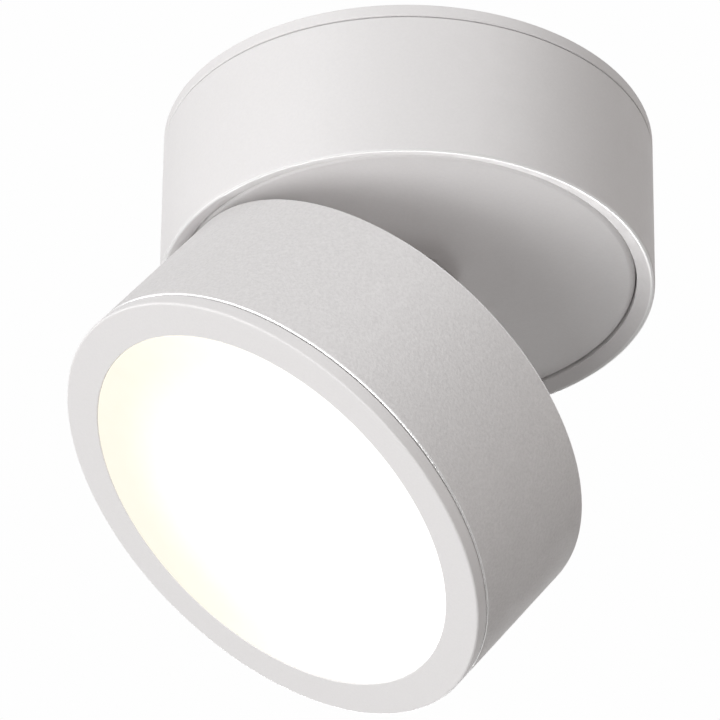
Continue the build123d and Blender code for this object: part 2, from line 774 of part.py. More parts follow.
with BuildPart() as heat_spreader:
    ring(head_frame, spreader_depth, spreader_front, spreader_radius, wire_hole)
    posts(head_frame, spreader_depth, spreader_front, m3_shank + close_fit,
          boss_places + board_screw_places, Mode.SUBTRACT)
heat_spreader.part.label = "heat_spreader"
export_step(heat_spreader.part, "parts/heat_spreader.step")

with BuildPart() as spreader_screws:
    pan_screws(head_frame, spreader_front, spreader_depth - boss_hole_depth + slip, boss_places)
spreader_screws.part.label = "spreader_screws"
export_step(spreader_screws.part, "parts/spreader_screws.step")

with BuildPart() as thermal_pad:
    ring(head_frame, spreader_front, board_back, pad_radius, wire_hole)
    posts(head_frame, spreader_front, board_back, m3_shank + close_fit, board_screw_places, Mode.SUBTRACT)
thermal_pad.part.label = "thermal_pad"
export_step(thermal_pad.part, "parts/thermal_pad.step")

with BuildPart() as light_board:
    ring(head_frame, board_back, board_front, board_radius, wire_hole)
    posts(head_frame, board_back, board_front, m3_shank + close_fit, board_screw_places, Mode.SUBTRACT)
light_board.part.label = "light_board"
export_step(light_board.part, "parts/light_board.step")

with BuildPart() as light_chips:
    with BuildSketch(layer(head_frame, board_front)):
        for share, count in zip(chip_ring_shares, chip_counts):
            with PolarLocations(share * board_radius, count):
                Rectangle(chip_length, chip_width)
    extrude(amount=-chip_height)
light_chips.part.label = "light_chips"
export_step(light_chips.part, "parts/light_chips.step")

with BuildPart() as board_connector:
    with BuildSketch(layer(head_frame, board_front)):
        with Locations((0, connector_offset)):
            Rectangle(connector_size[0], connector_size[1])
    extrude(amount=-connector_size[2])
board_connector.part.label = "board_connector"
export_step(board_connector.part, "parts/board_connector.step")

with BuildPart() as board_screws:
    pan_screws(head_frame, board_front, spreader_depth + slip, board_screw_places)
board_screws.part.label = "board_screws"
export_step(board_screws.part, "parts/board_screws.step")

lens_front = head_height - lens_flush
reflector_seat = lens_back - reflector_rim
reflector_flange = lens_flange_radius - running_fit

with BuildPart() as reflector:
    with BuildSketch(section(head_frame)):
        with BuildLine():
            Polyline(
                (reflector_foot - reflector_wall, -board_front),
                (reflector_foot, -board_front),
                (reflector_mouth, -reflector_seat),
                (reflector_flange, -reflector_seat),
                (reflector_flange, -lens_back),
                (reflector_mouth - reflector_wall, -lens_back),
                close=True,
            )
        make_face()
    revolve(axis=spin_axis(head_frame))
reflector.part.label = "reflector"
export_step(reflector.part, "parts/reflector.step")

with BuildPart() as diffuser:
    ring(head_frame, lens_back, lens_flange_front, lens_flange_radius)
    ring(head_frame, lens_flange_front, lens_front, lens_radius - running_fit)
    ring(head_frame, lens_back, lens_front - lens_thickness, lens_radius - running_fit - lens_thickness,
         mode=Mode.SUBTRACT)
diffuser.part.label = "diffuser"
export_step(diffuser.part, "parts/diffuser.step")

with BuildPart() as diffuser_gasket:
    ring(head_frame, lens_flange_front, lip_back, lens_flange_radius, lens_radius)
diffuser_gasket.part.label = "diffuser_gasket"
export_step(diffuser_gasket.part, "parts/diffuser_gasket.step")

bezel_back_radius = head_rear_radius + draft * bezel_back

with BuildPart() as bezel_ring:
    with BuildSketch(section(head_frame)):
        with BuildLine():
            CenterArc((body_radius - bezel_edge, -(head_height - bezel_edge)), bezel_edge, -90, 90)
            Polyline(
                (body_radius, -(head_height - bezel_edge)),
                (bezel_back_radius, -bezel_back),
                (bezel_spigot_radius, -bezel_back),
                (bezel_spigot_radius, -bezel_spigot_back),
                (bezel_spigot_inner, -bezel_spigot_back),
                (bezel_spigot_inner, -lip_back),
                (lens_radius, -lip_back),
                (lens_radius, -head_height),
                (body_radius - bezel_edge, -head_height),
            )
        make_face()
    revolve(axis=spin_axis(head_frame))
    ring_sectors(head_frame, bezel_spigot_back, bezel_lug_front, bezel_spigot_radius - bezel_spigot_wall / 2,
                 head_inner - slip, lug_span, 0, lug_count)
bezel_ring.part.label = "bezel_ring"
export_step(bezel_ring.part, "parts/bezel_ring.step")
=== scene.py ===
import json
import math

import bmesh
import bpy
from mathutils import Matrix, Vector

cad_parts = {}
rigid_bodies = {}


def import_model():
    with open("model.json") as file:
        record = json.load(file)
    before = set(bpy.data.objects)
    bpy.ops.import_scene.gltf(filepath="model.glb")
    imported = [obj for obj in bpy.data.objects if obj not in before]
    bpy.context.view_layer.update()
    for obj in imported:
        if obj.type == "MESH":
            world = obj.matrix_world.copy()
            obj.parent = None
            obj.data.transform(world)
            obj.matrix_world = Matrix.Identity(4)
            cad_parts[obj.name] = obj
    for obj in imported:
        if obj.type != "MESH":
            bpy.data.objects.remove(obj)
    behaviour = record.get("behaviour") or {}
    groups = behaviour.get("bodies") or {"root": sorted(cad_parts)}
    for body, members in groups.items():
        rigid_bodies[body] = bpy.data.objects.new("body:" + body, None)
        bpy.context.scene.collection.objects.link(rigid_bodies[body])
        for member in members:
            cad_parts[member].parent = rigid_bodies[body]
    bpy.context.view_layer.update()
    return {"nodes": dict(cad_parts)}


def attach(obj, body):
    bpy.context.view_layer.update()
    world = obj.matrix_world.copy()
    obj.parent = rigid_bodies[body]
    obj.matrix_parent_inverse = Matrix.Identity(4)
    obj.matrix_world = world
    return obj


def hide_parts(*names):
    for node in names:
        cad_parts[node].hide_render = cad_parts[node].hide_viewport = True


for leftover in list(bpy.data.objects):
    bpy.data.objects.remove(leftover)
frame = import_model()
nodes = frame["nodes"]
print("frame loaded with", len(nodes), "nodes")

mm = 0.001  # every length in the dictionaries is in millimetres

# The head's tilt from the horizontal. In its own axes, x runs away from the hinge and z out of its back
headPose = {"tilt": 37.0, "back": (-7.232, 0.0, -75.765)}
headTilt = math.radians(headPose["tilt"])
headMatrix = Matrix.Translation(Vector(headPose["back"]) * mm) @ Matrix.Rotation(headTilt, 4, "Y")
plainMatrix = Matrix.Identity(4)


def linear(hexColour):
    channels = [int(hexColour[i:i + 2], 16) / 255 for i in (1, 3, 5)]
    return [c / 12.92 if c <= 0.04045 else ((c + 0.055) / 1.055) ** 2.4 for c in channels] + [1.0]


def addNode(tree, kind, inputs=None, **settings):
    # An input is given a value, a socket, or a node whose first output is meant
    node = tree.nodes.new(kind)
    for name, value in settings.items():
        setattr(node, name, value)
    for name, value in (inputs or {}).items():
        if isinstance(value, bpy.types.Node):
            value = value.outputs[0]
        if isinstance(value, bpy.types.NodeSocket):
            tree.links.new(value, node.inputs[name])
        else:
            node.inputs[name].default_value = value
    return node


cameraView = {
    "place": (-0.35862, -1.20774, -0.86293),
    "right": (0.95946, -0.28168, 0.0092),
    "up": (-0.15857, -0.51254, 0.84389),
    "lens": 310.46,  # a long lens about a metre and a half away
    "sensor": 36.0,
    "near": 0.01,  # nothing nearer than this is drawn
}


def makeCamera():
    data = bpy.data.cameras.new("camera")
    data.sensor_fit = "HORIZONTAL"
    data.sensor_width = cameraView["sensor"]
    data.lens = cameraView["lens"]
    data.clip_start = cameraView["near"]
    camera = bpy.data.objects.new("camera", data)
    bpy.context.scene.collection.objects.link(camera)
    right = Vector(cameraView["right"]).normalized()
    up = Vector(cameraView["up"])
    up = (up - right * up.dot(right)).normalized()
    back = right.cross(up)
    turn = Matrix((right, up, back)).transposed()
    camera.matrix_world = Matrix.Translation(Vector(cameraView["place"])) @ turn.to_4x4()
    bpy.context.scene.camera = camera


lightAim = Vector((-0.01, 0.0, -0.06))
# Seven square softboxes of one size, seen from the fitting: azimuth 0 is along -Y and 90 is along +X
softboxRig = {"distance": 1.8, "size": 0.9}
softboxes = {
    "keySoftbox": {"azimuth": -60, "height": -32, "power": 8.95},
    "lowSoftbox": {"azimuth": -40, "height": -48, "power": 12.8},
    "upperSoftbox": {"azimuth": -60, "height": 20, "power": 12.22},
    "topSoftbox": {"azimuth": 20, "height": 45, "power": 9.11},
    "leftSoftbox": {"azimuth": -120, "height": 0, "power": 7.42},
    "rightSoftbox": {"azimuth": 70, "height": 0, "power": 3.0, "colour": "#FFEFE6"},
    "backSoftbox": {"azimuth": 170, "height": 0, "power": 23.7},
}
surroundings = {"level": 0.11, "colour": "#FFFAF7", "seen": "#FEFEFE"}


def makeSoftbox(name, box):
    data = bpy.data.lights.new(name, "AREA")
    data.shape = "SQUARE"
    data.size = softboxRig["size"]
    data.energy = box["power"]
    data.color = linear(box.get("colour", "#FFFFFF"))[:3]
    lamp = bpy.data.objects.new(name, data)
    azimuth = math.radians(box["azimuth"])
    height = math.radians(box["height"])
    level = math.cos(height)
    away = Vector((math.sin(azimuth) * level, -math.cos(azimuth) * level, math.sin(height)))
    stand = Matrix.Translation(lightAim + away * softboxRig["distance"])
    lamp.matrix_world = stand @ away.to_track_quat("Z", "Y").to_matrix().to_4x4()
    bpy.context.scene.collection.objects.link(lamp)


def makeSurroundings():
    world = bpy.data.worlds.new("studio")
    bpy.context.scene.world = world
    world.use_nodes = True
    tree = world.node_tree
    tree.nodes.clear()
    path = addNode(tree, "ShaderNodeLightPath").outputs
    seen = path["Is Camera Ray"]
    for ray in ("Is Glossy Ray", "Is Transmission Ray"):
        seen = addNode(tree, "ShaderNodeMath", {0: seen, 1: path[ray]}, operation="MAXIMUM")
    fillLight = {"Color": linear(surroundings["colour"]), "Strength": surroundings["level"]}
    fill = addNode(tree, "ShaderNodeBackground", fillLight)
    white = addNode(tree, "ShaderNodeBackground", {"Color": linear(surroundings["seen"]), "Strength": 1.0})
    both = addNode(tree, "ShaderNodeMixShader", {0: seen, 1: fill, 2: white})
    addNode(tree, "ShaderNodeOutputWorld", {"Surface": both})


# The room's floor, a storey below the fitting
floorSheet = {"size": 9000.0, "drop": 2400.0, "colour": "#EFEFEE", "roughness": 0.9}


def makeFloor():
    half = floorSheet["size"] / 2 * mm
    low = -floorSheet["drop"] * mm
    mesh = bpy.data.meshes.new("floor")
    corners = [(x, y, low) for x, y in ((-half, -half), (half, -half), (half, half), (-half, half))]
    mesh.from_pydata(corners, [], [(0, 1, 2, 3)])
    floor = bpy.data.objects.new("floor", mesh)
    material = bpy.data.materials.new("paleFloor")
    material.use_nodes = True
    tree = material.node_tree
    tree.nodes.clear()
    paint = {"Base Color": linear(floorSheet["colour"]), "Roughness": floorSheet["roughness"]}
    addNode(tree, "ShaderNodeOutputMaterial", {"Surface": addNode(tree, "ShaderNodeBsdfPrincipled", paint)})
    mesh.materials.append(material)
    bpy.context.scene.collection.objects.link(floor)


bpy.context.scene.view_settings.view_transform = "Standard"
makeCamera()
for name, box in softboxes.items():
    makeSoftbox(name, box)
makeSurroundings()
makeFloor()
print("camera, lamps and floor made")


def newMaterial(name):
    material = bpy.data.materials.new(name)
    material.use_nodes = True
    material.node_tree.nodes.clear()
    return material, material.node_tree


def objectPlace(tree):
    return addNode(tree, "ShaderNodeTexCoord").outputs["Object"]


# A noise texture's values lie mostly in this span
cloudSpan = {"From Min": 0.3, "From Max": 0.7}
grainNoise = {"Detail": 3.0, "Roughness": 0.6}


def skinOf(tree, tone, dark, pale, gloss, roughness):
    # The colour goes from dark to pale with the tone, and the roughness between its limits with the gloss
    colours = {"Factor": tone, 6: linear(dark), 7: linear(pale)}
    limits = {"To Min": roughness[0], "To Max": roughness[1]}
    rough = addNode(tree, "ShaderNodeMapRange", {"Value": gloss, **cloudSpan, **limits})
    return addNode(tree, "ShaderNodeMix", colours, data_type="RGBA").outputs[2], rough


def finishMaterial(tree, inputs):
    shader = addNode(tree, "ShaderNodeBsdfPrincipled", inputs)
    addNode(tree, "ShaderNodeOutputMaterial", {"Surface": shader})


# Powder coat, sprayed and baked: a satin skin of fine pale and dark grains over slow ripples, and sandier on
# the head. On the outer edges at the heights given, a thin line of painted highlight: white, glossy and
# partly metallic
powderCoats = {
    "finePowderCoat": {
        "pale": "#E5E3E3", "dark": "#E2E0E0", "grain": 0.75, "grainDepth": 0.018, "ripple": 4.0,
        "rippleDepth": 0.02, "roughness": (0.5, 0.6), "edges": (-42.0,), "highlightMetallic": 0.12,
    },
    "sandyPowderCoat": {
        "pale": "#E6E4E4", "dark": "#DAD8D8", "grain": 0.75, "grainDepth": 0.12, "ripple": 4.0,
        "rippleDepth": 0.012, "roughness": (0.5, 0.62), "edges": (0.0, -40.0), "highlightMetallic": 0.6,
    },
    "satinPowderCoat": {
        "pale": "#E9E7E7", "dark": "#E6E4E4", "grain": 0.6, "grainDepth": 0.008, "ripple": 5.0,
        "rippleDepth": 0.01, "roughness": (0.42, 0.5),
    },
}
# Painted highlight lines along the outer edges: their width and fade, the radius they start at, and their
# white colour and gloss
paintedHighlightLines = {"width": 0.3, "fade": 0.25, "reach": 58.6, "colour": "#FFFFFF", "roughness": 0.2}


def aroundAxis(tree, place):
    # A point's own coordinates, and how far it is from the upright axis
    parts = addNode(tree, "ShaderNodeSeparateXYZ", {0: place}).outputs
    flat = addNode(tree, "ShaderNodeCombineXYZ", {0: parts[0], 1: parts[1]})
    return parts, addNode(tree, "ShaderNodeVectorMath", {0: flat}, operation="LENGTH").outputs["Value"]


def headPlace(tree):
    # A point in the head's own axes
    shift = {0: objectPlace(tree), 1: -Vector(headPose["back"]) * mm}
    shifted = addNode(tree, "ShaderNodeVectorMath", shift, operation="ADD")
    turn = {"Vector": shifted, "Angle": -headTilt}
    return addNode(tree, "ShaderNodeVectorRotate", turn, rotation_type="Y_AXIS")


def paintedHighlightShare(tree, place, heights):
    # 1 on the outer edges at these heights, fading to 0 away from them: the share of painted highlight
    parts, reach = aroundAxis(tree, place)
    width = paintedHighlightLines["width"] * mm
    start = paintedHighlightLines["reach"] * mm
    fade = paintedHighlightLines["fade"] * mm
    away = {"From Min": width, "From Max": width + fade, "To Min": 1.0, "To Max": 0.0}
    share = 0.0
    for height in heights:
        rise = addNode(tree, "ShaderNodeMath", {0: parts[2], 1: height * mm}, operation="SUBTRACT")
        gap = addNode(tree, "ShaderNodeMath", {0: rise}, operation="ABSOLUTE")
        near = addNode(tree, "ShaderNodeMapRange", {"Value": gap, **away})
        share = addNode(tree, "ShaderNodeMath", {0: share, 1: near}, operation="MAXIMUM")
    outer = {"Value": reach, "From Min": start, "From Max": start + fade}
    outer = addNode(tree, "ShaderNodeMapRange", outer)
    return addNode(tree, "ShaderNodeMath", {0: share, 1: outer}, operation="MULTIPLY")


def makePowderCoat(name):
    coat = powderCoats[name]
    material, tree = newMaterial(name)
    place = objectPlace(tree)
    grain = {"Vector": place, "Scale": 1 / (coat["grain"] * mm), **grainNoise}
    grain = addNode(tree, "ShaderNodeTexNoise", grain)
    ripple = {"Vector": place, "Scale": 1 / (coat["ripple"] * mm), "Detail": 1.0}
    ripple = addNode(tree, "ShaderNodeTexNoise", ripple)
    relief = {"Height": ripple, "Strength": 1.0, "Distance": coat["rippleDepth"] * mm}
    slow = addNode(tree, "ShaderNodeBump", relief)
    relief = {"Height": grain, "Strength": 1.0, "Distance": coat["grainDepth"] * mm, "Normal": slow}
    tone = addNode(tree, "ShaderNodeMapRange", {"Value": grain, **cloudSpan})
    colour, roughness = skinOf(tree, tone, coat["dark"], coat["pale"], ripple, coat["roughness"])
    highlightMetallic = 0.0
    # Painted highlight: white, glossy and partly metallic lines on the edges, standing in for the light they
    # catch
    if "edges" in coat:
        edge = paintedHighlightShare(tree, headPlace(tree) if name == "sandyPowderCoat" else place, coat["edges"])
        pale = {"Factor": edge, 6: colour, 7: linear(paintedHighlightLines["colour"])}
        colour = addNode(tree, "ShaderNodeMix", pale, data_type="RGBA").outputs[2]
        gloss = {"Factor": edge, 2: roughness, 3: paintedHighlightLines["roughness"]}
        roughness = addNode(tree, "ShaderNodeMix", gloss, data_type="FLOAT")
        highlightMetallic = addNode(tree, "ShaderNodeMath", {0: edge, 1: coat["highlightMetallic"]}, operation="MULTIPLY")
    finishMaterial(tree, {
        "Base Color": colour,
        "Roughness": roughness,
        "Metallic": highlightMetallic,
        "Normal": addNode(tree, "ShaderNodeBump", relief),
    })
    return material


# Opal acrylic, lit from behind: even white light, a little dimmer and warmer towards the rim nearest the
# hinge. The warm part grows over the given span of radii, and over that of places along its direction
opalLens = {
    "white": "#FFFFFF", "warm": "#D8D4C2", "body": "#949391", "bodyPale": "#9A9997", "glow": 1.0,
    "warmRadii": (12.0, 46.0), "warmAngle": 150.0, "warmPlaces": (-50.0, 45.0),
    "haze": 6.0, "roughness": (0.32, 0.4), "index": 1.49,
}


def makeOpalAcrylic():
    lit = opalLens
    material, tree = newMaterial("opalAcrylic")
    parts, reach = aroundAxis(tree, headPlace(tree))
    angle = math.radians(lit["warmAngle"])
    sideways = addNode(tree, "ShaderNodeMath", {0: parts[1], 1: math.sin(angle)}, operation="MULTIPLY")
    along = {0: parts[0], 1: math.cos(angle), 2: sideways}
    along = addNode(tree, "ShaderNodeMath", along, operation="MULTIPLY_ADD")
    share = 1.0
    for value, span in ((reach, lit["warmRadii"]), (along, lit["warmPlaces"])):
        span = {"Value": value, "From Min": span[0] * mm, "From Max": span[1] * mm}
        warm = addNode(tree, "ShaderNodeMapRange", span, interpolation_type="SMOOTHSTEP")
        share = addNode(tree, "ShaderNodeMath", {0: share, 1: warm}, operation="MULTIPLY")
    light = {"Factor": share, 6: linear(lit["white"]), 7: linear(lit["warm"])}
    haze = {"Vector": objectPlace(tree), "Scale": 1 / (lit["haze"] * mm)}
    haze = addNode(tree, "ShaderNodeTexNoise", haze)
    tone = addNode(tree, "ShaderNodeMapRange", {"Value": haze, **cloudSpan})
    colour, roughness = skinOf(tree, tone, lit["body"], lit["bodyPale"], haze, lit["roughness"])
    finishMaterial(tree, {
        "Base Color": colour,
        "Roughness": roughness,
        "IOR": lit["index"],
        "Emission Color": addNode(tree, "ShaderNodeMix", light, data_type="RGBA").outputs[2],
        "Emission Strength": lit["glow"],
    })
    return material


# The plain finishes. Each pattern is a cloud of the given size, drawn out along one axis where the stock was
# rolled or moulded that way, with a relief of the given depth
plainFinishes = {
    # zinc plated steel: a bright bluish skin, faintly cloudy, finely brushed by the tumbling
    "zincPlatedSteel": {
        "pale": "#C9CBCE", "dark": "#A4A7AB", "pattern": 0.5, "stretch": (1, 1, 4), "roughness": (0.26, 0.44),
        "relief": 0.006, "metallic": 1.0,
    },
    # painted steel: the same white coat as the castings, sprayed thinner over folded sheet
    "paintedSteel": {
        "pale": "#E6E4E4", "dark": "#DDDBDB", "pattern": 0.6, "roughness": (0.45, 0.58), "relief": 0.02,
    },
    # stamped aluminium: dull silver with the lengthwise lines of the rolled sheet
    "stampedAluminium": {
        "pale": "#D6D7D9", "dark": "#BCBEC1", "pattern": 0.4, "stretch": (12, 1, 1), "roughness": (0.34, 0.5),
        "relief": 0.008, "metallic": 1.0,
    },
    # turned brass: warm yellow with close turning marks
    "turnedBrass": {
        "pale": "#DDBB66", "dark": "#BE9844", "pattern": 0.3, "stretch": (1, 1, 0.3),
        "roughness": (0.22, 0.38), "relief": 0.006, "metallic": 1.0,
    },
    # moulded rubber: matt black with a grey bloom
    "mouldedRubber": {
        "pale": "#2A2A2B", "dark": "#151516", "pattern": 0.8, "roughness": (0.7, 0.88), "relief": 0.03,
    },
    # cast silicone: milky and soft, a little cloudy
    "castSilicone": {
        "pale": "#ECEBE6", "dark": "#DFDED8", "pattern": 2.5, "roughness": (0.5, 0.65), "relief": 0.02,
    },
    # thermal silicone: a chalky grey-blue filled sheet
    "thermalSilicone": {
        "pale": "#9FA9B5", "dark": "#8794A3", "pattern": 0.5, "roughness": (0.75, 0.9), "relief": 0.04,
    },
    # moulded nylon: waxy off-white with slow flow marks
    "mouldedNylon": {
        "pale": "#EEEDE4", "dark": "#E2E0D4", "pattern": 3.0, "stretch": (2, 1, 1), "roughness": (0.38, 0.5),
        "relief": 0.02,
    },
    # moulded polycarbonate: cool white with the spark texture of its tool
    "mouldedPolycarbonate": {
        "pale": "#EFEFEE", "dark": "#E6E6E5", "pattern": 0.5, "roughness": (0.42, 0.55), "relief": 0.03,
    },
    # reflector plastic: highly white, matt, finely mottled
    "reflectorPlastic": {
        "pale": "#F6F6F3", "dark": "#EFEFEB", "pattern": 0.6, "roughness": (0.55, 0.7), "relief": 0.02,
    },
    # white board enamel: a printed, slightly orange-peeled skin over the copper
    "boardEnamel": {
        "pale": "#F2F2EE", "dark": "#E3E4E0", "pattern": 5.0, "roughness": (0.22, 0.34), "relief": 0.03,
    },
    # silicone with phosphor: egg-yolk yellow, grainy like flour
    "phosphorSilicone": {
        "pale": "#F3D23C", "dark": "#E6BC22", "pattern": 0.25, "roughness": (0.4, 0.55), "relief": 0.02,
    },
    # pressed ferrite: dark charcoal, finely pitted
    "pressedFerrite": {
        "pale": "#3B3B3E", "dark": "#242427", "pattern": 0.35, "roughness": (0.55, 0.75), "relief": 0.05,
    },
    # shrink sleeve: glossy blue-black film with soft rings where it tightened
    "shrinkSleeve": {
        "pale": "#1E2430", "dark": "#11151D", "pattern": 1.5, "stretch": (3, 3, 0.6),
        "roughness": (0.18, 0.3), "relief": 0.03,
    },
}
toneSize = 6  # the clouds of colour are this many times the size of the pattern


def makePlainFinish(name):
    finish = plainFinishes[name]
    material, tree = newMaterial(name)
    place = objectPlace(tree)
    share = {"Vector": place, "Scale": [1 / length for length in finish.get("stretch", (1, 1, 1))]}
    drawn = addNode(tree, "ShaderNodeMapping", share, vector_type="POINT")
    pattern = {"Vector": drawn, "Scale": 1 / (finish["pattern"] * mm), **grainNoise}
    pattern = addNode(tree, "ShaderNodeTexNoise", pattern)
    cloud = {"Vector": place, "Scale": 1 / (toneSize * finish["pattern"] * mm)}
    cloud = addNode(tree, "ShaderNodeTexNoise", cloud)
    tone = addNode(tree, "ShaderNodeMapRange", {"Value": cloud, **cloudSpan})
    colour, roughness = skinOf(tree, tone, finish["dark"], finish["pale"], pattern, finish["roughness"])
    relief = {"Height": pattern, "Strength": 1.0, "Distance": finish["relief"] * mm}
    finishMaterial(tree, {
        "Base Color": colour,
        "Roughness": roughness,
        "Metallic": finish.get("metallic", 0.0),
        "Normal": addNode(tree, "ShaderNodeBump", relief),
    })
    return material


# Glass fibre circuit board: green lacquer over copper tracks 1.2 mm apart, which wander as paler lines
circuitBoard = {
    "lacquer": "#1F5A34", "track": "#3C7A48", "pitch": 1.2, "trackEdge": (0.45, 0.6), "relief": 0.03,
    "wander": {"size": 9.0, "reach": 5.0}, "weave": 0.4, "roughness": (0.22, 0.36),
}
waveLength = 0.314  # the length of one wave of Blender's wave texture at scale 1


def makeCircuitBoard():
    board = circuitBoard
    material, tree = newMaterial("circuitBoardLacquer")
    place = objectPlace(tree)
    wander = {"Vector": place, "Scale": 1 / (board["wander"]["size"] * mm), "Detail": 1.0}
    bent = addNode(tree, "ShaderNodeTexNoise", wander).outputs[1]
    reach = {0: bent, "Scale": board["wander"]["reach"] * mm}
    shift = addNode(tree, "ShaderNodeVectorMath", reach, operation="SCALE")
    route = addNode(tree, "ShaderNodeVectorMath", {0: place, 1: shift}, operation="ADD")
    wave = {"Vector": route, "Scale": waveLength / (board["pitch"] * mm), "Distortion": 0.0}
    tracks = addNode(tree, "ShaderNodeTexWave", wave, bands_direction="X").outputs[1]
    edge = {"Value": tracks, "From Min": board["trackEdge"][0], "From Max": board["trackEdge"][1]}
    tone = addNode(tree, "ShaderNodeMapRange", edge)
    weave = addNode(tree, "ShaderNodeTexNoise", {"Vector": place, "Scale": 1 / (board["weave"] * mm)})
    colour, roughness = skinOf(tree, tone, board["lacquer"], board["track"], weave, board["roughness"])
    relief = {"Height": tone, "Strength": 1.0, "Distance": board["relief"] * mm}
    finishMaterial(tree, {
        "Base Color": colour,
        "Roughness": roughness,
        "Normal": addNode(tree, "ShaderNodeBump", relief),
    })
    return material


print("finishes ready")

segments = 256  # round a whole turned piece
holdMargin = 0.1  # how far from a rounding the flat faces start, so that they shade flat
roundingSteps = 5
mergeGap = 0.002  # points closer than this are one, and edges of half this length go
past = 1.0  # a cutting tool reaches up to this far past the faces that it cuts
root = 0.5  # a boss or rib starts this far inside the wall that it stands on
coneRise = 0.01  # how far the wide end of a cone tool stands out of the face
plainEdge = 0.2  # the rounding of the edges out of sight
thirds = (0, 120, 240)
ringCorners = (("inner", "low"), ("outer", "low"), ("outer", "high"), ("inner", "high"))


def outline(corners, closed):
    # corners are (radius, height, rounding), and each rounding becomes an arc between two held edges
    points = []
    count = len(corners)
    for index, (radius, height, rounding) in enumerate(corners):
        here = Vector((radius, height))
        ends = not closed and index in (0, count - 1)
        if rounding <= 0 or ends:
            points.append(here)
            continue
        before = Vector(corners[index - 1][:2])
        after = Vector(corners[(index + 1) % count][:2])
        toBefore = (before - here).normalized()
        toAfter = (after - here).normalized()
        half = toBefore.angle(toAfter) / 2
        reach = rounding / math.tan(half)
        centre = here + (toBefore + toAfter).normalized() * rounding / math.sin(half)
        start = here + toBefore * reach
        finish = here + toAfter * reach
        if (before - start).length > 2 * holdMargin:
            points.append(start + toBefore * holdMargin)
        first = start - centre
        turn = first.angle_signed(finish - centre)
        for step in range(roundingSteps + 1):
            angle = -turn * step / roundingSteps
            points.append(centre + Matrix.Rotation(angle, 2) @ first)
        if (after - finish).length > 2 * holdMargin:
            points.append(finish + toAfter * holdMargin)
    if closed:
        points.append(points[0])
    return points


def addSockets(tree, **names):
    # The named inputs of a tree by their kind, then its material and its one output
    for kind, group in {**names, "Material": ["Material"]}.items():
        for name in group:
            tree.interface.new_socket(name, in_out="INPUT", socket_type="NodeSocket" + kind)
    tree.interface.new_socket("Piece", in_out="OUTPUT", socket_type="NodeSocketGeometry")


def finishTree(tree, made):
    whole = addNode(tree, "GeometryNodeRealizeInstances", {"Geometry": made})
    material = addNode(tree, "NodeGroupInput").outputs["Material"]
    dressed = addNode(tree, "GeometryNodeSetMaterial", {"Geometry": whole, "Material": material})
    addNode(tree, "NodeGroupOutput", {"Piece": dressed})


def makeTurningTree():
    # Geometry nodes for every turned piece: a grid whose rows take radius and height from the profile
    tree = bpy.data.node_groups.new("turnedPiece", "GeometryNodeTree")
    addSockets(tree, Geometry=["Profile"], Int=["Points", "Segments"], Float=["Start Angle", "Sweep"])
    given = addNode(tree, "NodeGroupInput").outputs
    rows = addNode(tree, "ShaderNodeMath", {0: given["Segments"], 1: 1.0}, operation="ADD")
    size = {"Size X": 1.0, "Size Y": 1.0, "Vertices X": rows, "Vertices Y": given["Points"]}
    grid = addNode(tree, "GeometryNodeMeshGrid", size)
    share = {0: addNode(tree, "GeometryNodeInputIndex"), 1: given["Points"]}
    column = addNode(tree, "FunctionNodeIntegerMath", share, operation="MODULO")
    row = addNode(tree, "FunctionNodeIntegerMath", share, operation="DIVIDE")
    source = {"Geometry": given["Profile"], "Index": column}
    sample = addNode(tree, "GeometryNodeSampleIndex", source, data_type="FLOAT_VECTOR", domain="POINT")
    tree.links.new(addNode(tree, "GeometryNodeInputPosition").outputs[0], sample.inputs["Value"])
    parts = addNode(tree, "ShaderNodeSeparateXYZ", {0: sample.outputs["Value"]}).outputs
    turn = addNode(tree, "ShaderNodeMath", {0: row, 1: given["Segments"]}, operation="DIVIDE")
    angle = {0: turn, 1: given["Sweep"], 2: given["Start Angle"]}
    angle = addNode(tree, "ShaderNodeMath", angle, operation="MULTIPLY_ADD")
    spot = addNode(tree, "ShaderNodeCombineXYZ", {0: parts[0], 2: parts[2]})
    spin = {"Vector": spot, "Angle": angle}
    swung = addNode(tree, "ShaderNodeVectorRotate", spin, rotation_type="Z_AXIS")
    finishTree(tree, addNode(tree, "GeometryNodeSetPosition", {"Geometry": grid, "Position": swung}))
    return tree


turningTree = makeTurningTree()


def meshObject(name, mesh):
    piece = bpy.data.objects.new(name, mesh)
    bpy.context.scene.collection.objects.link(piece)
    return piece


def settle(piece):
    # Bakes the modifiers of a piece into a plain mesh
    bpy.context.view_layer.update()
    graph = bpy.context.evaluated_depsgraph_get()
    old = piece.data
    piece.data = bpy.data.meshes.new_from_object(piece.evaluated_get(graph), depsgraph=graph)
    piece.modifiers.clear()
    bpy.data.meshes.remove(old)


def tidy(piece, outward=True, sharpAngle=32):
    # Merges doubles, closes open ends, points faces outwards and marks the sharp edges
    work = bmesh.new()
    work.from_mesh(piece.data)
    bmesh.ops.remove_doubles(work, verts=work.verts, dist=mergeGap * mm)
    bmesh.ops.dissolve_degenerate(work, edges=work.edges, dist=mergeGap / 2 * mm)
    openEdges = [edge for edge in work.edges if edge.is_boundary]
    if openEdges:
        bmesh.ops.holes_fill(work, edges=openEdges, sides=0)
    if outward:
        bmesh.ops.recalc_face_normals(work, faces=work.faces)
    for face in work.faces:
        face.smooth = True
    for edge in work.edges:
        edge.smooth = edge.is_manifold and edge.calc_face_angle(0.0) < math.radians(sharpAngle)
    work.to_mesh(piece.data)
    work.free()


def grow(name, points, edges, tree, values):
    # A piece that a tree makes from a few points
    mesh = bpy.data.meshes.new(name)
    mesh.from_pydata(points, edges, [])
    piece = meshObject(name, mesh)
    modifier = piece.modifiers.new(tree.name, "NODES")
    modifier.node_group = tree
    for item in tree.interface.items_tree:
        if item.in_out == "INPUT" and item.name in values:
            modifier[item.identifier] = values[item.name]
    settle(piece)
    return piece


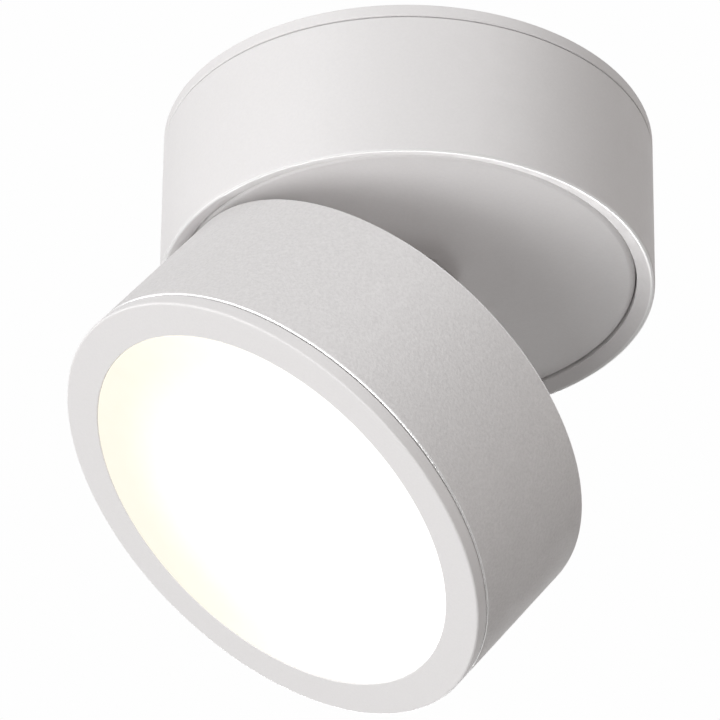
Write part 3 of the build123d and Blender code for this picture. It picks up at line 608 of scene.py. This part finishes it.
def turnPiece(
    name, corners, closed=True, material=None, matrix=plainMatrix, start=0.0, sweep=360.0, steps=segments,
):
    points = outline(corners, closed)
    places = [(point.x * mm, 0.0, point.y * mm) for point in points]
    edges = [(i, i + 1) for i in range(len(points) - 1)]
    piece = grow(name, places, edges, turningTree, {
        "Points": len(points),
        "Segments": steps,
        "Start Angle": math.radians(start),
        "Sweep": math.radians(sweep),
        "Material": material,
    })
    piece.data.transform(matrix)
    tidy(piece)
    return piece


def raised(height):
    return Matrix.Translation(Vector((0, 0, height)) * mm)


def turned(angle, axis="Z"):
    return Matrix.Rotation(math.radians(angle), 4, axis)


def blockMesh(work, low, high, matrix=plainMatrix):
    # A box between two corners, added to the working mesh
    made = bmesh.ops.create_cube(work, size=1.0)
    middle = Matrix.Translation((Vector(low) + Vector(high)) / 2 * mm)
    size = Matrix.Diagonal((*((Vector(high) - Vector(low)) * mm), 1.0))
    bmesh.ops.transform(work, matrix=matrix @ middle @ size, verts=made["verts"])


def pinMesh(work, centre, bottom, top, radius, topRadius=None, matrix=plainMatrix, sides=48):
    # An upright round pin or cone between two heights
    size = {"radius1": radius * mm, "radius2": (topRadius or radius) * mm, "depth": (top - bottom) * mm}
    made = bmesh.ops.create_cone(work, cap_ends=True, segments=sides, **size)
    place = Matrix.Translation(Vector((centre[0], centre[1], (bottom + top) / 2)) * mm)
    bmesh.ops.transform(work, matrix=matrix @ place, verts=made["verts"])


def slotMesh(work, centre, length, width, bottom, top, steps=16):
    # An upright round-ended slot, long in x
    ring = []
    for side, start in ((1, -90), (-1, 90)):
        for step in range(steps + 1):
            angle = math.radians(start + 180 * step / steps)
            x = centre[0] + side * (length - width) / 2 + math.cos(angle) * width / 2
            ring.append((x, centre[1] + math.sin(angle) * width / 2))
    low = [work.verts.new(Vector((x, y, bottom)) * mm) for x, y in ring]
    high = [work.verts.new(Vector((x, y, top)) * mm) for x, y in ring]
    work.faces.new(list(reversed(low)))
    work.faces.new(high)
    for i in range(len(ring)):
        j = (i + 1) % len(ring)
        work.faces.new((low[i], low[j], high[j], high[i]))


def combine(piece, tools, operation):
    # Cuts the tools out of the piece, or joins them to it; the tools are used up
    for tool in tools:
        modifier = piece.modifiers.new("shape", "BOOLEAN")
        modifier.operation = operation
        modifier.solver = "EXACT"
        modifier.object = tool
    settle(piece)
    for tool in tools:
        bpy.data.objects.remove(tool)
    tidy(piece)


def toolFrom(work):
    bmesh.ops.recalc_face_normals(work, faces=work.faces)
    mesh = bpy.data.meshes.new("tool")
    work.to_mesh(mesh)
    work.free()
    return meshObject("tool", mesh)


def arcs(ring, first, matrix=plainMatrix, count=3, steps=24):
    # Evenly spaced arcs of a ring, the lugs and notches of a twist lock
    corners = [(ring[side], ring[level], 0) for side, level in ringCorners]
    work = bmesh.new()
    for number in range(count):
        start = first + number * 360 / count - ring["span"] / 2
        arc = turnPiece("tool", corners, True, None, matrix, start, ring["span"], steps)
        work.from_mesh(arc.data)
        bpy.data.objects.remove(arc)
    return toolFrom(work)


def polar(radius, angle):
    return (radius * math.cos(math.radians(angle)), radius * math.sin(math.radians(angle)))


def place(piece, material, body, slotName, *replaced):
    piece.data.materials.clear()
    piece.data.materials.append(material)
    for polygon in piece.data.polygons:
        polygon.material_index = 0
    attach(piece, body)
    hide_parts(*replaced)


fineCoat = makePowderCoat("finePowderCoat")
sandyCoat = makePowderCoat("sandyPowderCoat")
satinCoat = makePowderCoat("satinPowderCoat")
opalAcrylic = makeOpalAcrylic()

# Ceiling plate: the cast lid that screws to the ceiling, with the twist lock's three lugs below it
plate = {
    "radius": 60.0, "band": 3.2, "thickness": 2.0, "spigot": 55.0, "spigotWall": 2.0, "reach": 10.45,
    "edge": 0.3, "inside": 0.4,
    "lugs": {"inner": 54.0, "outer": 57.1, "low": -10.45, "high": -8.25, "span": 24.0},
    "slots": {"spacing": 76.0, "length": 20.0, "width": 4.5},
    "cableHole": {"x": 17.0, "radius": 8.0, "sinkRadius": 10.0, "sink": 0.8, "sides": 64},
    "smallHoles": ((5.0, -28.0, 1.55), (30.0, -22.0, 2.05)),
}


def makeCeilingPlate():
    p = plate
    inner = p["spigot"] - p["spigotWall"]
    under = -p["thickness"]
    corners = [
        (0, under, 0), (inner, under, p["inside"]), (inner, -p["reach"], plainEdge),
        (p["spigot"], -p["reach"], plainEdge), (p["spigot"], -p["band"], 0.0),
        (p["radius"], -p["band"], p["edge"]), (p["radius"], 0, p["edge"]), (0, 0, 0),
    ]
    piece = turnPiece("ceilingPlate", corners, False, fineCoat)
    combine(piece, [arcs(p["lugs"], 0)], "UNION")
    work = bmesh.new()
    slot = p["slots"]
    for side in (-1, 1):
        slotMesh(work, (side * slot["spacing"] / 2, 0), slot["length"], slot["width"], under - past, past)
    for x, y, radius in p["smallHoles"]:
        pinMesh(work, (x, y), under - past, past, radius)
    hole = p["cableHole"]
    pinMesh(work, (hole["x"], 0), under - past, past, hole["radius"], sides=hole["sides"])
    sink = bmesh.new()
    pinMesh(sink, (hole["x"], 0), -hole["sink"], past, hole["sinkRadius"], sides=hole["sides"])
    combine(piece, [toolFrom(work), toolFrom(sink)], "DIFFERENCE")
    place(piece, fineCoat, "base", "white_powder_coat", "ceiling_plate")


# Base housing: the upper drum, its rim bevelled towards the turntable, with a deck inside for the driver
drum = {
    "radius": 60.0, "inner": 57.4, "top": -3.55, "bottom": -42.0, "edge": 0.3, "rimEdge": 0.6, "inside": 0.5,
    "lockRadius": 55.3, "lockLow": -7.95, "deckTop": -34.0, "deckBottom": -36.0, "deckHole": 9.05,
    "rimInner": 55.6, "rimRise": 1.8,
    "notches": {"inner": 55.0, "outer": 57.4, "low": -7.95, "high": -3.45, "span": 32.0},
    "driverScrews": ((-36.0, 26.0), (36.0, 26.0)), "screwHole": 1.55,
    "stop": {"orbit": 40.0, "radius": 1.25, "reach": 1.1},
    "lock": {"angle": 100.0, "radius": 1.55, "height": -5.75},
}


def makeBaseHousing():
    d = drum
    under = d["deckBottom"]
    corners = [
        (d["deckHole"], under, 0), (d["rimInner"], under, 0.0),
        (d["rimInner"], d["bottom"] + d["rimRise"], plainEdge), (d["radius"], d["bottom"], d["rimEdge"]),
        (d["radius"], d["top"], d["edge"]), (d["lockRadius"], d["top"], plainEdge),
        (d["lockRadius"], d["lockLow"], 0.0), (d["inner"], d["lockLow"], 0.0),
        (d["inner"], d["deckTop"], d["inside"]), (d["deckHole"], d["deckTop"], 0),
    ]
    piece = turnPiece("baseHousing", corners, True, fineCoat)
    work = bmesh.new()
    stop = d["stop"]
    pinMesh(work, polar(stop["orbit"], 270), under - stop["reach"], under + 2 * root, stop["radius"])
    combine(piece, [toolFrom(work)], "UNION")
    work = bmesh.new()
    for spot in d["driverScrews"]:
        pinMesh(work, spot, under - past, d["deckTop"] + past, d["screwHole"])
    lock = d["lock"]
    along = turned(lock["angle"]) @ raised(lock["height"]) @ turned(90, "Y")
    pinMesh(work, (0, 0), d["lockRadius"] - 2 * past, d["radius"] + past, lock["radius"], matrix=along)
    combine(piece, [arcs(d["notches"], 60), toolFrom(work)], "DIFFERENCE")
    place(piece, fineCoat, "base", "white_powder_coat", "base_housing")


# Turntable disc: the round plate in the underside of the drum that the head hangs from
turntable = {
    "radius": 55.3, "top": -37.5, "bottom": -40.0, "hole": 7.05, "sinkRadius": 11.05, "sink": 1.0,
    "edge": 1.5,
    "groove": {"from": -43.0, "to": -4.5, "width": 6.0, "depth": 1.3},
    "stop": {"orbit": 40.0, "radius": 1.3, "depth": 1.2},
    "screws": ((-30.0, 8.0), (-30.0, -8.0), (-16.0, 8.0), (-16.0, -8.0)), "screwHole": 1.55,
}


def makeTurntableDisc():
    t = turntable
    under = t["bottom"]
    sunk = under + t["sink"]
    corners = [
        (t["sinkRadius"], under, 0), (t["radius"], under, t["edge"]), (t["radius"], t["top"], plainEdge),
        (t["hole"], t["top"], 0), (t["hole"], sunk, 0), (t["sinkRadius"], sunk, 0),
    ]
    piece = turnPiece("turntableDisc", corners, True, fineCoat)
    work = bmesh.new()
    groove = t["groove"]
    half = groove["width"] / 2
    blockMesh(work, (groove["from"], -half, under - past), (groove["to"], half, under + groove["depth"]))
    stop = t["stop"]
    pinMesh(work, polar(stop["orbit"], 90), t["top"] - stop["depth"], t["top"] + past, stop["radius"])
    for spot in t["screws"]:
        pinMesh(work, spot, under - past, t["top"] + past, t["screwHole"])
    combine(piece, [toolFrom(work)], "DIFFERENCE")
    place(piece, fineCoat, "turntable", "white_powder_coat", "turntable_disc")


# Head housing: the lower drum, a little narrower at its back, with a slot in its back for the hinge arm
head = {
    "backRadius": 59.4, "frontRadius": 59.948, "depth": 40.0, "inner": 56.8, "backWall": 2.6, "corner": 0.6,
    "frontEdge": 0.5, "inside": 0.6, "lockRadius": 55.3, "lockDepth": 34.8,
    "notches": {"inner": 55.0, "outer": 56.8, "low": -40.1, "high": -34.8, "span": 32.0},
    "slot": {"from": -56.3, "to": -38.4, "halfWidth": 5.0},
    "bossOrbit": 50.0, "bossRadius": 3.5, "bossEnd": 14.0, "bossHole": 8.0, "screwHole": 1.55,
    "ribs": {
        "inner": 12.0, "outer": 44.0, "thickness": 2.0, "height": 8.0, "angles": (-120, -60, 0, 60, 120),
    },
    "sunkScrews": ((-36.0, 7.0), (-36.0, -7.0)), "sunkRadius": 2.8, "sunkDepth": 1.3,
}


def makeHeadHousing():
    h = head
    wall = -h["backWall"]
    lockHeight = -h["lockDepth"]
    corners = [
        (0, wall, 0), (h["inner"], wall, h["inside"]), (h["inner"], lockHeight, 0.0),
        (h["lockRadius"], lockHeight, 0.0), (h["lockRadius"], -h["depth"], plainEdge),
        (h["frontRadius"], -h["depth"], h["frontEdge"]), (h["backRadius"], 0, h["corner"]), (0, 0, 0),
    ]
    piece = turnPiece("headHousing", corners, False, sandyCoat, headMatrix)
    bosses = [polar(h["bossOrbit"], angle) for angle in thirds]
    work = bmesh.new()
    for spot in bosses:
        pinMesh(work, spot, -h["bossEnd"], wall + root, h["bossRadius"], matrix=headMatrix)
    rib = h["ribs"]
    low = (rib["inner"], -rib["thickness"] / 2, wall - rib["height"])
    high = (rib["outer"], rib["thickness"] / 2, wall + root)
    for angle in rib["angles"]:
        blockMesh(work, low, high, headMatrix @ turned(angle))
    combine(piece, [toolFrom(work)], "UNION")
    work = bmesh.new()
    slot = h["slot"]
    low = (slot["from"], -slot["halfWidth"], wall - past / 2)
    blockMesh(work, low, (slot["to"], slot["halfWidth"], past), headMatrix)
    sink = bmesh.new()
    for spot in h["sunkScrews"]:
        pinMesh(work, spot, wall - past / 2, past / 2, h["screwHole"], matrix=headMatrix)
        pinMesh(sink, spot, -h["sunkDepth"], coneRise, h["screwHole"], h["sunkRadius"], headMatrix)
    top = h["bossHole"] - h["bossEnd"]
    for spot in bosses:
        pinMesh(work, spot, -h["bossEnd"] - past / 2, top, h["screwHole"], matrix=headMatrix)
    notches = arcs(h["notches"], 60, headMatrix)
    combine(piece, [notches, toolFrom(work), toolFrom(sink)], "DIFFERENCE")
    place(piece, sandyCoat, "head", "white_powder_coat", "head_housing")


# Bezel: the front ring that holds the lens, twisted into the housing with a fine shadow gap behind it
bezel = {
    "radius": 60.0, "backRadius": 59.953, "back": 40.4, "front": 43.8, "edge": 0.5, "backEdge": 0.15,
    "lens": 50.8, "lipBack": 41.4, "spigot": 55.0, "spigotInner": 53.2, "spigotBack": 32.3, "lensEdge": 0.2,
    "lugs": {"inner": 54.1, "outer": 56.5, "low": -34.5, "high": -32.3, "span": 24.0},
}


def makeBezelRing():
    b = bezel
    corners = [
        (b["spigotInner"], -b["spigotBack"], plainEdge), (b["spigotInner"], -b["lipBack"], 0.0),
        (b["lens"], -b["lipBack"], 0.0), (b["lens"], -b["front"], b["lensEdge"]),
        (b["radius"], -b["front"], b["edge"]), (b["backRadius"], -b["back"], b["backEdge"]),
        (b["spigot"], -b["back"], 0.0), (b["spigot"], -b["spigotBack"], plainEdge),
    ]
    piece = turnPiece("bezelRing", corners, True, satinCoat, headMatrix)
    combine(piece, [arcs(b["lugs"], 0, headMatrix)], "UNION")
    place(piece, satinCoat, "head", "white_bezel_coat", "bezel_ring")


# Diffuser: an opal cup whose flange sits behind the bezel's lip
lens = {
    "flange": 53.0, "radius": 50.7, "back": 38.6, "flangeFront": 40.6, "front": 43.7, "wall": 2.0,
    "edge": 0.25, "inside": 0.5,
}


def makeDiffuser():
    d = lens
    hollow = d["radius"] - d["wall"]
    behind = -(d["front"] - d["wall"])
    corners = [
        (0, behind, 0), (hollow, behind, d["inside"]), (hollow, -d["back"], 0.0),
        (d["flange"], -d["back"], 0.0), (d["flange"], -d["flangeFront"], 0.0),
        (d["radius"], -d["flangeFront"], 0.0), (d["radius"], -d["front"], d["edge"]), (0, -d["front"], 0),
    ]
    piece = turnPiece("opalDiffuser", corners, False, opalAcrylic, headMatrix)
    place(piece, opalAcrylic, "head", "opal_acrylic", "diffuser")


# Hinge arm: folded steel from the turntable to the hinge, its cut edges broken by the paint
armEdges = {"bevel": 0.22, "steps": 2, "angle": 30.0}
# The foot's two far corners are cut off by upright blocks at 45 degrees, where x and y add up to this length
footClip = {"corner": 15.5, "size": 20.0, "low": -43.0, "high": -39.0}


def makeHingeArm():
    piece = meshObject("hingeArm", nodes["hinge_arm"].data.copy())
    tidy(piece, outward=False)
    work = bmesh.new()
    work.from_mesh(piece.data)
    bmesh.ops.dissolve_limit(work, angle_limit=math.radians(1), verts=work.verts, edges=work.edges)
    work.to_mesh(piece.data)
    work.free()
    clip = footClip
    reach = clip["corner"] / math.sqrt(2)
    tools = []
    for angle in (-45, 45):
        work = bmesh.new()
        low = (reach, -clip["size"], clip["low"])
        blockMesh(work, low, (reach + clip["size"], clip["size"], clip["high"]), turned(angle))
        tools.append(toolFrom(work))
    combine(piece, tools, "DIFFERENCE")
    rounding = piece.modifiers.new("edges", "BEVEL")
    rounding.width = armEdges["bevel"] * mm
    rounding.segments = armEdges["steps"]
    rounding.limit_method = "ANGLE"
    rounding.angle_limit = math.radians(armEdges["angle"])
    rounding.use_clamp_overlap = True
    settle(piece)
    tidy(piece, outward=False, sharpAngle=40)
    place(piece, finishes["paintedSteel"], "turntable", "white_painted_steel", "hinge_arm")


screwSides = 40
shankOverlap = 0.25  # the shank starts this far inside the head
turnSeed = 7  # of the random turn of each screw's recess


def makeScrewTree():
    # Geometry nodes for a set of screws: one screw with its recess, set down on every point of the mesh
    tree = bpy.data.node_groups.new("screwSet", "GeometryNodeTree")
    sizes = ["Seat Radius", "Top Radius", "Head Height", "Shank Radius", "Shank Length"]
    recessSizes = ["Recess Length", "Recess Width", "Recess Depth", "Cross"]
    addSockets(tree, Geometry=["Spots"], Float=sizes + recessSizes, Int=["Sides"])
    given = addNode(tree, "NodeGroupInput").outputs

    def moveUp(mesh, height):
        lift = addNode(tree, "ShaderNodeCombineXYZ", {2: height})
        return addNode(tree, "GeometryNodeTransform", {"Geometry": mesh, "Translation": lift})

    size = {"Radius Bottom": given["Seat Radius"], "Radius Top": given["Top Radius"]}
    size.update({"Depth": given["Head Height"], "Vertices": given["Sides"]})
    head = addNode(tree, "GeometryNodeMeshCone", size)
    overlap = shankOverlap * mm
    length = addNode(tree, "ShaderNodeMath", {0: given["Shank Length"], 1: overlap}, operation="ADD")
    size = {"Radius": given["Shank Radius"], "Depth": length, "Vertices": given["Sides"]}
    shank = addNode(tree, "GeometryNodeMeshCylinder", size)
    middle = addNode(tree, "ShaderNodeMath", {0: length, 1: -0.5, 2: overlap}, operation="MULTIPLY_ADD")
    whole = addNode(tree, "GeometryNodeMeshBoolean", {1: head}, operation="UNION", solver="EXACT")
    tree.links.new(moveUp(shank, middle).outputs[0], whole.inputs[1])
    bars = []  # their lower halves cut the recess
    depth = addNode(tree, "ShaderNodeMath", {0: given["Recess Depth"], 1: 2.0}, operation="MULTIPLY")
    for reach, width in (("Recess Length", "Recess Width"), ("Recess Width", "Cross")):
        size = addNode(tree, "ShaderNodeCombineXYZ", {0: given[reach], 1: given[width], 2: depth})
        bars.append(moveUp(addNode(tree, "GeometryNodeMeshCube", {"Size": size}), given["Head Height"]))
    cut = {0: whole, 1: bars[0]}
    recess = addNode(tree, "GeometryNodeMeshBoolean", cut, operation="DIFFERENCE", solver="EXACT")
    tree.links.new(bars[1].outputs[0], recess.inputs[1])
    turn = addNode(tree, "FunctionNodeRandomValue", {2: 0.0, 3: math.pi, "Seed": turnSeed}, data_type="FLOAT")
    angle = addNode(tree, "ShaderNodeCombineXYZ", {2: turn.outputs[1]})
    row = {"Points": given["Spots"], "Instance": recess, "Rotation": angle}
    finishTree(tree, addNode(tree, "GeometryNodeInstanceOnPoints", row))
    return tree


# The sizes of each kind of screw, and then each set: its spots, the heights of its seat and tip, and its way
screwKinds = {
    "pan3": {"seat": 2.75, "top": 2.25, "head": 1.8, "shank": 1.5, "recess": (2.9, 0.75, 1.0), "cross": 2.9},
    "pan4": {"seat": 4.0, "top": 3.4, "head": 2.4, "shank": 2.0, "recess": (4.4, 1.0, 1.3), "cross": 4.4},
    "sunk3": {"seat": 1.5, "top": 2.75, "head": 1.3, "shank": 1.5, "recess": (2.8, 0.75, 0.9), "cross": 2.8},
    "clamp": {"seat": 1.7, "top": 1.55, "head": 0.4, "shank": 1.7, "recess": (3.6, 0.6, 0.8), "cross": 0.6},
}
screwSets = {
    "terminalFixingScrew": {
        "kind": "pan3", "spots": ((5.0, -28.0),), "seat": -14.0, "tip": -0.3, "down": True, "body": "base",
        "slot": "steel", "node": "terminal_fixing_screw",
    },
    "terminalClampScrews": {
        "kind": "clamp", "spots": [(x, -28.0 + y) for x in (-10, 0, 10) for y in (-4.5, 4.5)], "seat": -14.0,
        "tip": -8.3, "down": True, "body": "base", "slot": "steel", "node": "terminal_clamp_screws",
    },
    "earthScrew": {
        "kind": "pan4", "spots": ((30.0, -22.0),), "seat": -2.0, "tip": -0.3, "down": True, "body": "base",
        "slot": "brass", "node": "earth_screw",
    },
    "driverScrews": {
        "kind": "pan3", "spots": ((-36.0, 26.0), (36.0, 26.0)), "seat": -32.0, "tip": -35.7, "down": False,
        "body": "base", "slot": "steel", "node": "driver_screws",
    },
    "hingeArmScrews": {
        "kind": "sunk3", "spots": [(-x, y) for x in (30.0, 16.0) for y in (-8.0, 8.0)], "seat": -40.3,
        "tip": -37.8, "down": True, "body": "turntable", "slot": "steel", "node": "hinge_arm_screws",
    },
    "bracketScrews": {
        "kind": "sunk3", "spots": ((-36.0, 7.0), (-36.0, -7.0)), "seat": -1.3, "tip": -4.9, "down": False,
        "body": "head", "slot": "steel", "node": "bracket_screws",
    },
    "spreaderScrews": {
        "kind": "pan3", "spots": [polar(50.0, a) for a in thirds], "seat": -17.0, "tip": -6.3,
        "down": True, "body": "head", "slot": "steel", "node": "spreader_screws",
    },
    "boardScrews": {
        "kind": "pan3", "spots": [polar(41.0, a) for a in (60, 180, 300)], "seat": -19.1, "tip": -14.3,
        "down": True, "body": "head", "slot": "steel", "node": "board_screws",
    },
}


def makeScrews(name):
    screws = screwSets[name]
    kind = screwKinds[screws["kind"]]
    side = -1 if screws["down"] else 1
    spots = [(x * mm, side * y * mm, 0.0) for x, y in screws["spots"]]
    metal = finishes["turnedBrass" if screws["slot"] == "brass" else "zincPlatedSteel"]
    sizes = {
        "Seat Radius": kind["seat"], "Top Radius": kind["top"], "Head Height": kind["head"],
        "Shank Radius": kind["shank"], "Shank Length": abs(screws["seat"] - screws["tip"]),
        "Recess Length": kind["recess"][0], "Recess Width": kind["recess"][1],
        "Recess Depth": kind["recess"][2], "Cross": kind["cross"],
    }
    values = {size: length * mm for size, length in sizes.items()}
    piece = grow(name, spots, [], screwTree, {**values, "Sides": screwSides, "Material": metal})
    matrix = headMatrix if screws["body"] == "head" else plainMatrix
    piece.data.transform(matrix @ raised(screws["seat"]) @ turned(180 if screws["down"] else 0, "X"))
    tidy(piece)
    place(piece, metal, screws["body"], screws["slot"], screws["node"])


# The light chips: small white frames round sunk yellow windows, in rings of the radius and number given
chips = {
    "length": 3.5, "width": 2.8, "height": 0.8, "seat": -19.1, "window": 0.8, "sink": 0.12,
    "rings": ((13.95, 8), (23.95, 14), (33.95, 20)),
}


def makeChipTree():
    # Geometry nodes for the rings of chips
    tree = bpy.data.node_groups.new("chipRings", "GeometryNodeTree")
    numbers = [str(number + 1) for number in range(len(chips["rings"]))]
    radii = ["Radius " + number for number in numbers]
    counts = ["Count " + number for number in numbers]
    addSockets(tree, Geometry=["Ring"], Float=["Length", "Width", "Height"] + radii, Int=counts)
    given = addNode(tree, "NodeGroupInput").outputs
    size = {0: given["Length"], 1: given["Width"], 2: given["Height"]}
    chip = addNode(tree, "GeometryNodeMeshCube", {"Size": addNode(tree, "ShaderNodeCombineXYZ", size)})
    facing = addNode(tree, "ShaderNodeSeparateXYZ", {0: addNode(tree, "GeometryNodeInputNormal")}).outputs[2]
    upright = {"data_type": "FLOAT", "operation": "GREATER_THAN"}
    upper = addNode(tree, "FunctionNodeCompare", {0: facing, 1: 0.5}, **upright)
    face = {"Mesh": chip, "Selection": upper, "Offset Scale": 0.0}
    window = addNode(tree, "GeometryNodeExtrudeMesh", face, mode="FACES").outputs
    face = {"Geometry": window[0], "Selection": window[1], "Scale": chips["window"]}
    inset = addNode(tree, "GeometryNodeScaleElements", face, domain="FACE")
    face = {"Mesh": inset, "Selection": window[1], "Offset Scale": -chips["sink"] * mm}
    sunk = addNode(tree, "GeometryNodeExtrudeMesh", face, mode="FACES")
    joined = addNode(tree, "GeometryNodeJoinGeometry")
    for radius, count in reversed(list(zip(radii, counts))):
        ring = addNode(tree, "GeometryNodeMeshCircle", {"Radius": given[radius], "Vertices": given[count]})
        spot = addNode(tree, "GeometryNodeInputPosition")
        spot = addNode(tree, "ShaderNodeSeparateXYZ", {0: spot}).outputs
        turn = addNode(tree, "ShaderNodeMath", {0: spot[1], 1: spot[0]}, operation="ARCTAN2")
        angle = addNode(tree, "ShaderNodeCombineXYZ", {2: turn})
        row = {"Points": ring, "Instance": sunk, "Rotation": angle}
        tree.links.new(addNode(tree, "GeometryNodeInstanceOnPoints", row).outputs[0], joined.inputs[0])
    finishTree(tree, joined)
    return tree


def makeLightChips():
    c = chips
    yellow = finishes["phosphorSilicone"]
    values = {"Length": c["length"] * mm, "Width": c["width"] * mm, "Height": c["height"] * mm}
    for number, (radius, count) in enumerate(c["rings"], 1):
        values[f"Radius {number}"] = radius * mm
        values[f"Count {number}"] = count
    piece = grow("lightChips", [(0, 0, 0)], [], makeChipTree(), {**values, "Material": yellow})
    piece.data.transform(headMatrix @ raised(c["seat"] - c["height"] / 2) @ turned(180, "X"))
    tidy(piece)
    place(piece, yellow, "head", "chip_phosphor", "light_chips")


finishes = {name: makePlainFinish(name) for name in plainFinishes}
finishes["circuitBoardLacquer"] = makeCircuitBoard()

makeCeilingPlate()
makeBaseHousing()
makeTurntableDisc()
makeHeadHousing()
makeBezelRing()
makeDiffuser()
print("turned pieces made")

makeHingeArm()
screwTree = makeScrewTree()
for name in screwSets:
    makeScrews(name)
makeLightChips()
print("hinge arm, screws and light chips made")

# What the pieces that stay as they are in the frame are made of
carriedOver = {
    "paintedSteel": ("swivel_stem",),
    "zincPlatedSteel": (
        "housing_lock_screw", "stem_washer", "spring_washer", "swivel_nut", "stop_pin", "hinge_bracket",
        "hinge_bolt",
    ),
    "stampedAluminium": ("heat_spreader",),
    "mouldedRubber": ("cable_grommet",),
    "castSilicone": ("diffuser_gasket",),
    "thermalSilicone": ("thermal_pad",),
    "mouldedNylon": ("terminal_block", "swivel_bush", "glide_washer", "friction_washers", "board_connector"),
    "mouldedPolycarbonate": ("driver_case", "driver_cover"),
    "reflectorPlastic": ("reflector",),
    "boardEnamel": ("light_board",),
    "circuitBoardLacquer": ("driver_board",),
    "pressedFerrite": ("driver_transformer", "driver_choke"),
    "shrinkSleeve": ("driver_capacitors",),
}
for finish, names in carriedOver.items():
    for name in names:
        for slot in nodes[name].material_slots:
            slot.material = finishes[finish]
print("carried-over pieces dressed")
